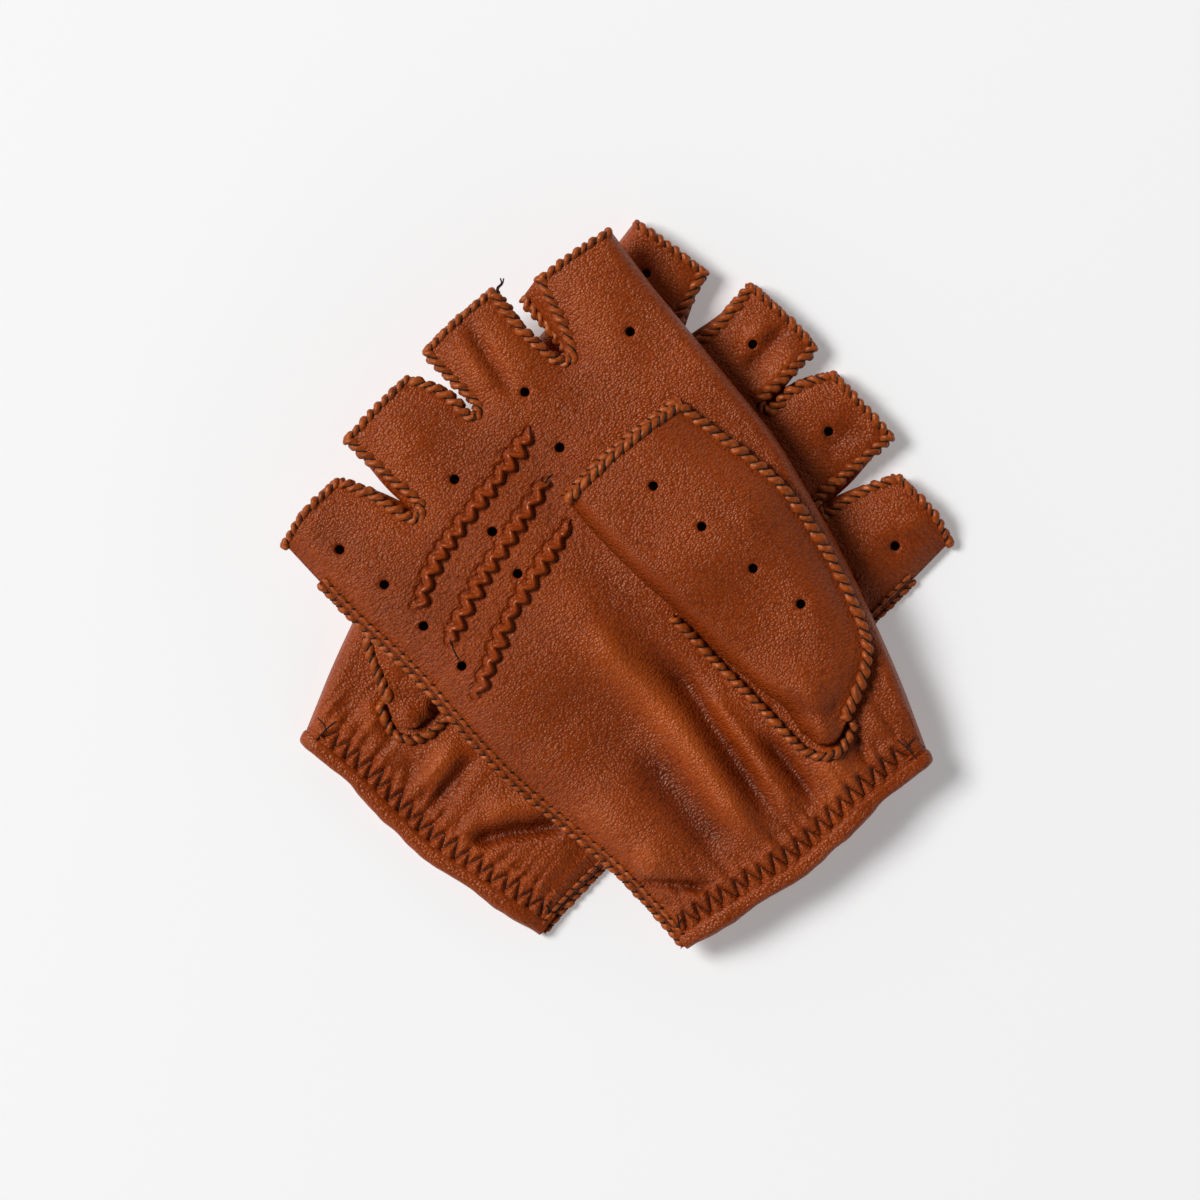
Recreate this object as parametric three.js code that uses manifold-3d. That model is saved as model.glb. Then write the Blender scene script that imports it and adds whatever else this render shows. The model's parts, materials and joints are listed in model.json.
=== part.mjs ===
// A pair of half-finger driving gloves in pebbled leather, laid palm up and crossed: the left
// glove lies on the surface and the right glove lies across it. Millimetres, +Z up, +Y from the
// right glove's cuff towards its fingertips, +X towards its index finger. One cutting pattern
// serves both hands: the left glove is the right one mirrored and turned.
import * as THREE from "three";
import Module from "manifold-3d";
import { mergeVertices } from "three/addons/utils/BufferGeometryUtils.js";
import { TessellateModifier } from "three/addons/modifiers/TessellateModifier.js";

const wasm = await Module();
wasm.setup();

// ---- Driving dimensions ----
const GLOVE_WIDTH = 108; // widest, from the little finger's seam to the index fold
const GLOVE_LENGTH = 151; // cuff edge to the middle fingertip
const LEATHER = 0.9; // thickness of the skin
const HAND_ROOM = 5; // clear height between palm and back
const THUMB_ROOM = 4.6; // clear height inside the thumb
const CLEARANCE = 0.3; // between pieces that touch
const THUMB_REST = 0.6; // between the thumb and the palm it lies on
const SEAM_RADIUS = 0.9; // whip-stitched edge, as a round bead
const SEAM_FLAT = 12; // from a closed side seam to where the glove has its full room
const HEM_TURN = 5; // a hem turns back this far from a closed side seam
const CUFF_HEM = 4; // depth of the rolled hem at the wrist
const ELASTIC_WIDTH = 4;
const ELASTIC_THICKNESS = 0.8;
const ELASTIC_INSET = 17; // from the side seam to the elastic's end
const THREAD_RADIUS = 0.4;
const ZIGZAG_TEETH = 22;
const ZIGZAG_DEPTH = 3.2;
const VENT_RADIUS = 1.1;
const TUCK_WIDTH = 1.8;
const TUCK_HEIGHT = 1.2;
const TUCK_WAVE = 3.8; // length of one wave of a pin-tuck
const TUCK_SWING = 1.1; // how far a wave leaves the tuck's middle line
const RAMP_LENGTH = 34; // over which the upper glove climbs onto the lower glove's thumb
const CUFF_DROOP = 2; // how far the upper glove's cuff hangs below its palm
const DROOP_LENGTH = 20;
const CROSSING_ANGLE = -76.5; // degrees from the upper glove's axis to the lower glove's
const LOWER_CUFF = new THREE.Vector2(-69.1, 57.8); // middle of the lower glove's cuff
const DRAPED_FACET = 14; // longest edge of a facet in the upper glove, which bends
const FLAT_FACET = 20; // and in the lower glove, which lies flat

// The cutting pattern is drawn for a glove of this size and stretched to the size above.
const PATTERN_WIDTH = 108;
const PATTERN_LENGTH = 151;
const WIDE = GLOVE_WIDTH / PATTERN_WIDTH;
const LONG = GLOVE_LENGTH / PATTERN_LENGTH;
const drafted = (points) => points.map(([u, v]) => new THREE.Vector2(u * WIDE, v * LONG));

// ---- Sizes that follow ----
const HAND_THICK = 2 * LEATHER + HAND_ROOM;
const THUMB_THICK = 2 * LEATHER + THUMB_ROOM;
const FOLD_RADIUS = HAND_THICK / 2;
const THUMB_FOLD_RADIUS = THUMB_THICK / 2;
const EDGE = 2 * SEAM_RADIUS + CLEARANCE; // from the outline to the skin inside its bead

// ---- Cutting pattern of the right hand, palm up, counter-clockwise from the cuff ----
const CUFF = drafted([[-36.9, 0.5], [-15, -1.6], [-4, -2.7], [8.6, -1.9], [22, -0.3], [37, 0]]);
const FOLD = drafted([
  [37, 0], [39.4, 7.8], [42.8, 19.3], [46.2, 33.2], [50.2, 52],
  [52.8, 71.6], [54, 84], [53.4, 110], [52.8, 128], [53, 145.4],
]);
const INDEX_TIP = drafted([[52.9, 145.4], [42.3, 146.2], [32.2, 146.3]]);
const INDEX_SLOT = drafted([
  [31.8, 146.5], [30.7, 137.6], [30, 132], [28.8, 128], [26.2, 126.7],
  [23.8, 128], [22.4, 132.5], [22.4, 139], [23.2, 150],
]);
const MIDDLE_TIP = drafted([[22.9, 151], [10, 150.4], [0.3, 149]]);
const MIDDLE_SLOT = drafted([
  [-0.2, 148.5], [0.9, 137], [2.6, 131.5], [0.8, 129.8], [-1.3, 130.6], [-2.2, 136], [-5, 146],
]);
const RING_TIP = drafted([[-5.4, 147], [-15.8, 145.7], [-26.8, 144]]);
const RING_SLOT = drafted([
  [-27.1, 143.5], [-24.6, 131], [-22.3, 121.4], [-24.3, 119.4], [-26.9, 120.3],
  [-29.2, 127], [-32.5, 137],
]);
const LITTLE_TIP = drafted([[-33, 137.8], [-45, 136.5], [-54, 133]]);
const SIDE = drafted([
  [-53.8, 132.5], [-51.5, 110], [-48.2, 90], [-46.6, 66], [-44.5, 51],
  [-41.6, 38.5], [-38.6, 24], [-37, 8], [-36.9, 0.5],
]);
const KNUCKLE = { point: drafted([[0, 119]])[0], slope: (0.14 * LONG) / WIDE };
const VENTS = drafted([
  [-39.7, 110.8], [-38.3, 97.5], [-36.9, 84.6], [-12, 105.2], [-13.3, 93.8], [12.5, 111.2],
  [42.1, 122.7], [-43, 123.7], [-13.8, 134.8], [-11.6, 120.3], [13, 139.5], [13.9, 126.5],
  [43.1, 136.7],
]);
const TUCKS = [
  drafted([[9, 118], [-1.2, 114.8], [-19.2, 110.2], [-28.6, 106.7], [-36.4, 101.5]]),
  drafted([[5, 106.7], [-11.6, 101], [-20.4, 98], [-35.4, 91.2]]),
  drafted([[3, 95.5], [-13.4, 89.7], [-22, 86.3], [-38.1, 76.9]]),
];
// The thumb, from its base to its tip: its fold lies towards the palm's middle, its closing
// seam towards the index side.
const THUMB_FOLD = drafted([
  [17, 20], [17.3, 30.6], [15.2, 37.5], [12.7, 49.8], [11, 62.9], [8.6, 75.2], [6.8, 88.4],
  [6, 101.7],
]);
const THUMB_SEAM = drafted([
  [27, 20], [37.8, 25], [41.8, 29], [44.8, 35.5], [48, 50], [49.3, 62], [49.3, 73],
  [46.7, 84.4], [44.4, 93], [41.5, 103.2],
]);
const THUMB_BASE_SEAM = drafted([
  [15.2, 19.8], [13.6, 25], [13, 32.7], [12.1, 40], [11, 48], [10.1, 57], [9, 64],
]);
const THUMB_VENTS = drafted([[34.9, 47.8], [31.1, 61.2], [27.5, 76.3], [24.3, 90.7]]);
const THUMB_BASE = 20 * LONG;
const THUMB_BEND = 64.2 * LONG; // where the thumb leaves the palm
const THUMB_TIP = 103 * LONG;
const THUMB_SPREAD = 14 * LONG; // over which the thumb opens from its base seam

// ---- Lines on the pattern ----
const mix = THREE.MathUtils.lerp;
const rise = THREE.MathUtils.smoothstep;
const left = (d) => new THREE.Vector2(-d.y, d.x);

function heading(line, i) {
  const k = THREE.MathUtils.clamp(i, 0, line.length - 2);
  return line[k + 1].clone().sub(line[k]).normalize();
}

// A line moved to the left of its travel, with mitred corners.
function offset(line, distance) {
  return line.map((point, i) => {
    const mitre = left(heading(line, i - 1)).add(left(heading(line, i))).normalize();
    const spread = mitre.dot(left(heading(line, i)));
    return mitre.multiplyScalar(distance / spread).add(point);
  });
}

function crossing(a, b, c, d) {
  const run = b.clone().sub(a);
  const other = d.clone().sub(c);
  const share = c.clone().sub(a).cross(other) / run.cross(other);
  return a.clone().addScaledVector(run, share);
}

// Stretches that follow each other, each cut or carried on to where it meets the next.
function joined(stretches) {
  const lines = stretches.map((line) => line.slice());
  lines.forEach((line, i) => {
    const next = lines[(i + 1) % lines.length];
    const corner = crossing(line.at(-2), line.at(-1), next[0], next[1]);
    line[line.length - 1] = corner;
    next[0] = corner;
  });
  return lines.flatMap((line) => line.slice(1));
}

// The middle one of three stretches, moved in and cut where it meets its moved neighbours.
function between(before, stretch, after, distance, beforeDistance = distance) {
  const line = offset(stretch, distance);
  const first = offset(before, beforeDistance);
  const last = offset(after, distance);
  const start = crossing(first.at(-2), first.at(-1), line[0], line[1]);
  const end = crossing(line.at(-2), line.at(-1), last[0], last[1]);
  return [start, ...line.slice(1, -1), end];
}

// The part of a line, or of an outline, where side(point) is positive.
function clipped(line, side, closed = false) {
  const kept = [];
  line.forEach((point, i) => {
    const next = line[(i + 1) % line.length];
    const here = side(point);
    const there = side(next);
    if (here > 0) kept.push(point);
    const last = !closed && i === line.length - 1;
    if (!last && here > 0 !== there > 0) kept.push(point.clone().lerp(next, here / (here - there)));
  });
  return kept;
}

function pastKnuckles(point) {
  const height = point.y - KNUCKLE.point.y - KNUCKLE.slope * (point.x - KNUCKLE.point.x);
  return height / Math.hypot(1, KNUCKLE.slope);
}
const onHand = (point) => -pastKnuckles(point) - CLEARANCE / 2;
const onFingers = (point) => pastKnuckles(point) - CLEARANCE / 2;

function lengthOf(line) {
  return line.slice(1).reduce((sum, point, i) => sum + point.distanceTo(line[i]), 0);
}

function pathOf(line) {
  const path = new THREE.CurvePath();
  line.slice(1).forEach((point, i) => path.add(new THREE.LineCurve(line[i], point)));
  return path;
}

// A line with equal steps, less a stretch at each end.
function stepped(line, step, trim = 0) {
  const length = lengthOf(line);
  const path = pathOf(line);
  const count = Math.max(2, Math.ceil((length - 2 * trim) / step));
  const share = (i) => mix(trim, length - trim, i / count) / length;
  return Array.from({ length: count + 1 }, (_, i) => path.getPoint(share(i)));
}

// A line less a stretch at each end, with its own corners.
function trimmed(line, start, end) {
  const length = lengthOf(line);
  const path = pathOf(line);
  const corners = line.filter((_, i) => {
    const run = lengthOf(line.slice(0, i + 1));
    return run > start && run < length - end;
  });
  return [path.getPoint(start / length), ...corners, path.getPoint(1 - end / length)];
}

function distanceTo(line, u, v) {
  const point = new THREE.Vector3(u, v, 0);
  const nearest = new THREE.Vector3();
  const span = new THREE.Line3();
  const gaps = line.slice(1).map((end, i) => {
    span.start.set(line[i].x, line[i].y, 0);
    span.end.set(end.x, end.y, 0);
    return span.closestPointToPoint(point, true, nearest).distanceTo(point);
  });
  return Math.min(...gaps);
}

// Where a line that climbs the glove crosses v.
function acrossAt(line, v) {
  const i = Math.max(0, line.findLastIndex((point, k) => k < line.length - 1 && point.y <= v));
  return mix(line[i].x, line[i + 1].x, (v - line[i].y) / (line[i + 1].y - line[i].y));
}

// ---- Solids ----
// A geometry with each corner moved by place(x, y, z), facing out.
function shaped(geometry, place) {
  const solid = mergeVertices(geometry.deleteAttribute("normal").deleteAttribute("uv"), 1e-4);
  const corners = solid.getAttribute("position");
  const point = new THREE.Vector3();
  for (let i = 0; i < corners.count; i++) {
    point.fromBufferAttribute(corners, i);
    corners.setXYZ(i, ...place(point.x, point.y, point.z).toArray());
  }
  const faces = solid.index.array;
  const [a, b, c] = [new THREE.Vector3(), new THREE.Vector3(), new THREE.Vector3()];
  let volume = 0;
  for (let i = 0; i < faces.length; i += 3) {
    a.fromBufferAttribute(corners, faces[i]);
    b.fromBufferAttribute(corners, faces[i + 1]);
    c.fromBufferAttribute(corners, faces[i + 2]);
    volume += a.dot(b.cross(c));
  }
  if (volume < 0) {
    for (let i = 0; i < faces.length; i += 3) [faces[i], faces[i + 1]] = [faces[i + 1], faces[i]];
  }
  solid.computeVertexNormals();
  return solid;
}

function solidOf(geometry) {
  const bare = geometry.clone().deleteAttribute("normal");
  const merged = mergeVertices(bare, 1e-4);
  const vertProperties = merged.getAttribute("position").array;
  const triVerts = new Uint32Array(merged.index.array);
  return new wasm.Manifold(new wasm.Mesh({ numProp: 3, vertProperties, triVerts }));
}

function geometryOf(solid) {
  const mesh = solid.getMesh();
  const geometry = new THREE.BufferGeometry();
  geometry.setAttribute("position", new THREE.BufferAttribute(mesh.vertProperties, 3));
  geometry.setIndex(new THREE.BufferAttribute(mesh.triVerts, 1));
  geometry.computeVertexNormals();
  return geometry;
}

// A skin of leather cut to an outline, with punched vents, draped on height(u, v).
function skin(outline, vents, facet, height) {
  const shape = new THREE.Shape(outline);
  for (const vent of vents) {
    shape.holes.push(new THREE.Path().absarc(vent.x, vent.y, VENT_RADIUS, 0, 2 * Math.PI, true));
  }
  const flat = new THREE.ExtrudeGeometry(shape, {
    depth: LEATHER,
    bevelEnabled: false,
    curveSegments: 4,
  });
  const faceted = new TessellateModifier(facet, 14).modify(flat);
  return shaped(faceted, (u, v, w) => new THREE.Vector3(u, v, w + height(u, v)));
}

// A round bead through points, with flat ends.
function bead(points, radius, sides = 6) {
  const stations = points.length - 1;
  const rod = new THREE.CylinderGeometry(1, 1, 1, sides, stations);
  return shaped(rod, (x, y, z) => {
    const i = Math.round((y + 0.5) * stations);
    const before = points[Math.max(0, i - 1)];
    const after = points[Math.min(stations, i + 1)];
    const along = after.clone().sub(before).normalize();
    const across = new THREE.Vector3(-along.y, along.x, 0).normalize();
    const up = along.clone().cross(across);
    const middle = points[i].clone();
    return middle.addScaledVector(across, x * radius).addScaledVector(up, z * radius);
  });
}

// A closed bead round an opening, deep along the glove and thick across its wall.
function rim(points, depth, thickness, sides = 6) {
  const count = points.length;
  const ring = new THREE.TorusGeometry(2, 1, sides, count);
  return shaped(ring, (x, y, z) => {
    const turn = Math.atan2(y, x) / (2 * Math.PI);
    const i = (Math.round(turn * count) + count) % count;
    const before = points[(i + count - 1) % count];
    const after = points[(i + 1) % count];
    const outward = new THREE.Vector3(before.z - after.z, 0, after.x - before.x).normalize();
    const out = (Math.hypot(x, y) - 2) * (thickness / 2);
    const middle = points[i].clone();
    return middle.addScaledVector(outward, out).add(new THREE.Vector3(0, (z * depth) / 2, 0));
  });
}

// A strip on edge along a line: its section runs across by width and up by height.
function strip(line, width, bottom, height) {
  const stations = line.length - 1;
  const sides = [offset(line, -width / 2), offset(line, width / 2)];
  const bar = new THREE.BoxGeometry(1, 1, 1, 1, stations, 1);
  return shaped(bar, (x, y, z) => {
    const point = sides[x > 0 ? 0 : 1][Math.round((y + 0.5) * stations)];
    return new THREE.Vector3(point.x, point.y, bottom(point.x, point.y) + (z + 0.5) * height);
  });
}

// The rounded turn of the skin where palm runs over into back, along a fold line.
function turnedEdge(line, radius, middle) {
  const stations = line.length - 1;
  const centres = offset(line, radius);
  const bar = new THREE.BoxGeometry(1, 1, 1, 5, stations, 1);
  return shaped(bar, (x, y, z) => {
    const i = Math.round((y + 0.5) * stations);
    const centre = centres[i];
    const out = line[i].clone().sub(centre).normalize();
    const r = radius - (0.5 - z) * LEATHER;
    const reach = r * Math.cos(x * Math.PI);
    const height = middle(centre.x, centre.y) + r * Math.sin(x * Math.PI);
    return new THREE.Vector3(centre.x + out.x * reach, centre.y + out.y * reach, height);
  });
}

// ---- Finishes ----
const leatherFinish = () => new THREE.MeshStandardMaterial({ color: 0x8c4527, roughness: 0.5 });
const innerFinish = () => new THREE.MeshStandardMaterial({ color: 0x5c2f1a, roughness: 0.85 });
const threadFinish = () => new THREE.MeshStandardMaterial({ color: 0x2b1710, roughness: 0.75 });
const elasticFinish = () => new THREE.MeshStandardMaterial({ color: 0x2a2320, roughness: 0.9 });

function piece(name, geometry, material) {
  const mesh = new THREE.Mesh(geometry, material);
  mesh.name = name;
  return mesh;
}

// ---- One glove, on ground(v) ----
function glove(side, ground, facet, jointed) {
  const parts = new THREE.Group();
  const add = (name, geometry, finish) => parts.add(piece(`${side}_${name}`, geometry, finish()));

  // The room between palm and back closes towards the little finger's side seam.
  const openness = (u, v) => rise(distanceTo(SIDE, u, v), EDGE, SEAM_FLAT);
  const room = (u, v) => mix(CLEARANCE, HAND_ROOM, openness(u, v));
  const inner = (u, v) => ground(v) + LEATHER + room(u, v);
  const palm = (u, v) => inner(u, v) + LEATHER;
  const middle = (u, v) => ground(v) + HAND_THICK / 2;

  const skinOutline = joined([
    offset(CUFF, CUFF_HEM + CLEARANCE),
    offset(FOLD, FOLD_RADIUS + CLEARANCE),
    ...[INDEX_TIP, INDEX_SLOT, MIDDLE_TIP, MIDDLE_SLOT, RING_TIP, RING_SLOT, LITTLE_TIP, SIDE].map(
      (line) => offset(line, EDGE),
    ),
  ]);
  const shares = jointed ? [["hand", onHand], ["fingers", onFingers]] : [["", () => 1]];
  const foldLine = trimmed(FOLD, CUFF_HEM + CLEARANCE, EDGE);

  for (const [part, within] of shares) {
    const outline = clipped(skinOutline, within, true);
    const vents = VENTS.filter((vent) => within(vent) > 0);
    const suffix = part === "fingers" ? "_fingers" : "";
    add(`palm${suffix}`, skin(outline, vents, facet, inner), leatherFinish);
    add(`back${suffix}`, skin(outline, [], facet, (u, v) => ground(v)), leatherFinish);
    const fold = clipped(foldLine, within);
    add(`index_fold${suffix}`, turnedEdge(fold, FOLD_RADIUS, middle), leatherFinish);
    const sideLine = clipped(offset(SIDE, SEAM_RADIUS), within);
    const seamHeight = (v) => ground(v) + LEATHER + CLEARANCE / 2;
    const sidePath = sideLine.map((p) => new THREE.Vector3(p.x, p.y, seamHeight(p.y)));
    add(`side_seam${suffix}`, bead(sidePath, SEAM_RADIUS), threadFinish);
  }
  addSlots(add, ground, palm);
  addFingertips(add, ground, palm);
  addCuff(add, ground, palm, inner);
  addTucks(add, palm);
  addThumb(add, palm);
  return parts;
}

// Between two fingers: a folded side strip inside, and the bead that sews it to the palm.
function addSlots(add, ground, palm) {
  const slots = { index_middle: INDEX_SLOT, middle_ring: MIDDLE_SLOT, ring_little: RING_SLOT };
  for (const [name, slot] of Object.entries(slots)) {
    const wall = stepped(offset(slot, EDGE + CLEARANCE + LEATHER / 2), 3, EDGE);
    const bottom = (u, v) => ground(v) + LEATHER + CLEARANCE;
    add(`${name}_gusset`, strip(wall, LEATHER, bottom, HAND_ROOM - 2 * CLEARANCE), innerFinish);
    const edge = stepped(offset(slot, SEAM_RADIUS), 3, EDGE + SEAM_RADIUS);
    const path = edge.map((p) => new THREE.Vector3(p.x, p.y, palm(p.x, p.y) - SEAM_RADIUS));
    add(`${name}_slot_seam`, bead(path, SEAM_RADIUS), threadFinish);
  }
}

// The bead round a finger's open end, along its palm edge and back along its back edge.
function endLoop(front, ground, palm, turn) {
  const over = front.map((p) => new THREE.Vector3(p.x, p.y, palm(p.x, p.y) - SEAM_RADIUS));
  const under = front.map((p) => new THREE.Vector3(p.x, p.y, ground(p.y) + SEAM_RADIUS)).reverse();
  return turn ? [...turn, ...over, ...under] : [...over, ...under];
}

function addFingertips(add, ground, palm) {
  const r = SEAM_RADIUS;
  const foldTurn = (start) => {
    const out = new THREE.Vector2(FOLD_RADIUS - r, 0);
    const height = ground(start.y) + HAND_THICK / 2;
    return [new THREE.Vector3(start.x + out.x, start.y, height)];
  };
  const index = stepped(between(FOLD, INDEX_TIP, INDEX_SLOT, r, FOLD_RADIUS), 6);
  const indexLoop = endLoop(index, ground, palm, foldTurn(index[0]));
  const middle = stepped(between(INDEX_SLOT, MIDDLE_TIP, MIDDLE_SLOT, r), 6);
  const ring = stepped(between(MIDDLE_SLOT, RING_TIP, RING_SLOT, r), 6);
  const open = (point) => distanceTo(SIDE, point.x, point.y) - HEM_TURN;
  const little = stepped(clipped(between(RING_SLOT, LITTLE_TIP, SIDE, r), open), 5);
  add("index_hem", rim(indexLoop, 2 * r, 2 * r), threadFinish);
  add("middle_hem", rim(endLoop(middle, ground, palm), 2 * r, 2 * r), threadFinish);
  add("ring_hem", rim(endLoop(ring, ground, palm), 2 * r, 2 * r), threadFinish);
  add("little_hem", rim(endLoop(little, ground, palm), 2 * r, 2 * r), threadFinish);
}

// The rolled hem of the wrist, the elastic inside it and the zigzag stitch that holds it.
function addCuff(add, ground, palm, inner) {
  const open = (point) => Math.min(distanceTo(SIDE, point.x, point.y) - HEM_TURN, 1);
  const shortOfFold = (point) => distanceTo(FOLD, point.x, point.y) - FOLD_RADIUS;
  const hemLine = clipped(clipped(stepped(offset(CUFF, CUFF_HEM / 2), 3), open), shortOfFold);
  const front = stepped(hemLine, 7).reverse();
  const turn = new THREE.Vector3(front[0].x + FOLD_RADIUS - SEAM_RADIUS, front[0].y, 0);
  turn.z = ground(turn.y) + HAND_THICK / 2;
  const cuffLoop = endLoop(front, ground, palm, [turn]);
  add("cuff_hem", rim(cuffLoop, CUFF_HEM, 2 * SEAM_RADIUS), leatherFinish);

  const bandMiddle = offset(CUFF, CUFF_HEM + CLEARANCE + ELASTIC_WIDTH / 2);
  const opening = (point) => Math.min(
    distanceTo(SIDE, point.x, point.y) - ELASTIC_INSET,
    distanceTo(FOLD, point.x, point.y) - FOLD_RADIUS - EDGE,
  );
  const band = stepped(clipped(stepped(bandMiddle, 1), opening), 6);
  const under = (u, v) => inner(u, v) - CLEARANCE - ELASTIC_THICKNESS;
  add("wrist_elastic", strip(band, ELASTIC_WIDTH, under, ELASTIC_THICKNESS), elasticFinish);

  const steps = 2 * ZIGZAG_TEETH;
  const path = pathOf(band);
  const stitches = Array.from({ length: steps + 1 }, (_, i) => {
    const point = path.getPoint(i / steps);
    const v = point.y + (i % 2 ? 0.5 : -0.5) * ZIGZAG_DEPTH;
    const lift = CLEARANCE + THREAD_RADIUS;
    return new THREE.Vector3(point.x, v, palm(point.x, v) + lift);
  });
  add("zigzag_stitch", bead(stitches, THREAD_RADIUS, 4), threadFinish);
}

// Three raised pin-tucks across the palm, each a wavy ridge of gathered skin.
function addTucks(add, palm) {
  TUCKS.forEach((tuck, k) => {
    const waves = lengthOf(tuck) / TUCK_WAVE;
    const count = Math.round(waves * 3);
    const path = pathOf(tuck);
    const line = Array.from({ length: count + 1 }, (_, i) => {
      const swing = TUCK_SWING * Math.sin((i / count) * waves * 2 * Math.PI);
      const share = i / count;
      return path.getPoint(share).addScaledVector(left(path.getTangent(share)), swing);
    });
    const bottom = (u, v) => palm(u, v) + CLEARANCE;
    add(`palm_tuck_${k + 1}`, strip(line, TUCK_WIDTH, bottom, TUCK_HEIGHT), leatherFinish);
  });
}

// The thumb: one folded piece of skin, open along its closing seam, sewn to the palm at its base.
function addThumb(add, palm) {
  const edge = offset(THUMB_SEAM, EDGE);
  const edgeOf = (v) => acrossAt(edge, v);
  const foldOf = (v) => acrossAt(THUMB_FOLD, v) + THUMB_FOLD_RADIUS;
  const spread = (v) => rise(v, THUMB_BASE, THUMB_BASE + THUMB_SPREAD);
  const room = (u, v) => {
    const open = Math.min(rise(edgeOf(v) - u, 0, SEAM_FLAT), spread(v));
    return mix(CLEARANCE, THUMB_ROOM, open);
  };
  const floor = (u, v) => palm(u, v) + THUMB_REST;
  const roof = (u, v) => floor(u, v) + LEATHER + room(u, v);

  // across runs from -1 at the palm layer's edge, through 0 at the fold, to 1 at the top layer's.
  const place = (across, v, w) => {
    const turn = 2 / 7;
    const start = foldOf(v);
    const share = Math.max(0, (Math.abs(across) - turn) / (1 - turn));
    const u = mix(start, edgeOf(v), share);
    if (share > 0) {
      const height = across < 0 ? floor(u, v) + (1 - w) * LEATHER : roof(u, v) + w * LEATHER;
      return new THREE.Vector3(u, v, height);
    }
    const low = floor(start, v);
    const high = roof(start, v) + LEATHER;
    const radius = (high - low) / 2 - (1 - w) * LEATHER;
    const angle = (across / turn) * (Math.PI / 2);
    const reach = Math.max(radius, 0) * Math.cos(angle);
    return new THREE.Vector3(start - reach, v, (low + high) / 2 + radius * Math.sin(angle));
  };
  const folded = (from, to, rows, vents) => {
    const sheet = new THREE.BoxGeometry(2, 1, 1, 14, rows, 1);
    const flat = shaped(sheet, (x, y, z) => place(x, mix(from, to, y + 0.5), z + 0.5));
    const punch = (solid, vent) => {
      const rod = new THREE.CylinderGeometry(VENT_RADIUS, VENT_RADIUS, THUMB_ROOM, 8);
      rod.rotateX(Math.PI / 2);
      rod.translate(vent.x, vent.y, roof(vent.x, vent.y) + THUMB_ROOM / 4);
      return solid.subtract(solidOf(shaped(rod, (x, y, z) => new THREE.Vector3(x, y, z))));
    };
    return geometryOf(vents.reduce(punch, solidOf(flat)));
  };
  const tipEnd = THUMB_TIP - EDGE;
  const bend = CLEARANCE / 2;
  add("thumb_base", folded(THUMB_BASE, THUMB_BEND - bend, 8, THUMB_VENTS.slice(0, 2)), leatherFinish);
  add("thumb", folded(THUMB_BEND + bend, tipEnd, 6, THUMB_VENTS.slice(2)), leatherFinish);

  const seamHeight = (u, v) => floor(u, v) + LEATHER + CLEARANCE / 2;
  const seam = (from, to) => {
    const line = offset(THUMB_SEAM, SEAM_RADIUS);
    const share = clipped(clipped(line, (p) => p.y - from), (p) => to - p.y);
    return bead(share.map((p) => new THREE.Vector3(p.x, p.y, seamHeight(p.x, p.y))), SEAM_RADIUS);
  };
  add("thumb_base_closing_seam", seam(THUMB_BASE + SEAM_RADIUS, THUMB_BEND - bend), threadFinish);
  add("thumb_closing_seam", seam(THUMB_BEND + bend, tipEnd), threadFinish);
  const root = stepped(THUMB_BASE_SEAM, 6).map(
    (p) => new THREE.Vector3(p.x, p.y, palm(p.x, p.y) + THUMB_REST + SEAM_RADIUS),
  );
  add("thumb_base_seam", bead(root, SEAM_RADIUS), threadFinish);

  const tip = tipEnd + CLEARANCE + SEAM_RADIUS;
  const front = [];
  for (const share of [0, 0.25, 0.5, 0.75, 1]) {
    front.push(mix(foldOf(tip), edgeOf(tip) - HEM_TURN, share));
  }
  const over = front.map((u) => new THREE.Vector3(u, tip, roof(u, tip) + LEATHER - SEAM_RADIUS));
  const under = front.map((u) => new THREE.Vector3(u, tip, floor(u, tip) + SEAM_RADIUS)).reverse();
  const foldSide = foldOf(tip) - THUMB_FOLD_RADIUS + SEAM_RADIUS;
  const turn = new THREE.Vector3(foldSide, tip, (over[0].z + under.at(-1).z) / 2);
  add("thumb_hem", rim([turn, ...over, ...under], 2 * SEAM_RADIUS, 2 * SEAM_RADIUS), threadFinish);
}

// ---- The pair ----
const pair = new THREE.Group();

const lower = glove("left", () => 0, FLAT_FACET, false);
lower.scale.x = -1;
lower.rotation.z = THREE.MathUtils.degToRad(CROSSING_ANGLE);
lower.position.set(LOWER_CUFF.x, LOWER_CUFF.y, 0);

// The upper glove lies on the lower glove's palm, and climbs over its thumb.
const onPalm = HAND_THICK + TUCK_HEIGHT + 2 * CLEARANCE;
const onThumb = HAND_THICK + THUMB_REST + THUMB_THICK + CLEARANCE;
lower.updateMatrixWorld(true);
const thumbReach = Math.min(
  ...THUMB_FOLD.map((p) => new THREE.Vector3(p.x, p.y, 0).applyMatrix4(lower.matrixWorld).y),
);
const rampEnd = thumbReach - CLEARANCE;
const upperGround = (v) => {
  const climb = (onThumb - onPalm) * rise(v, rampEnd - RAMP_LENGTH, rampEnd);
  const droop = CUFF_DROOP * Math.max(0, 1 - v / DROOP_LENGTH);
  return onPalm + climb - droop;
};
const upper = glove("right", upperGround, DRAPED_FACET, true);
pair.add(lower, upper);

// The origin is the middle of the pair's footprint, on the surface.
const box = new THREE.Box3().setFromObject(pair, true);
const centre = box.getCenter(new THREE.Vector3());
for (const part of [lower, upper]) {
  part.position.x -= centre.x;
  part.position.y -= centre.y;
}

export default pair;
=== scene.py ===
# %% [markdown]
# A pair of half-finger driving gloves in pebbled leather, laid palm up, the right glove across the
# left. Each glove is two skins of leather folded round the index side, whip-stitched by hand along
# every other edge, with a folded thumb on the palm and an elastic gathered into the wrist.
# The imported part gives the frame: where each glove lies, and which pieces move together.

# %% The frame
import json

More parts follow.
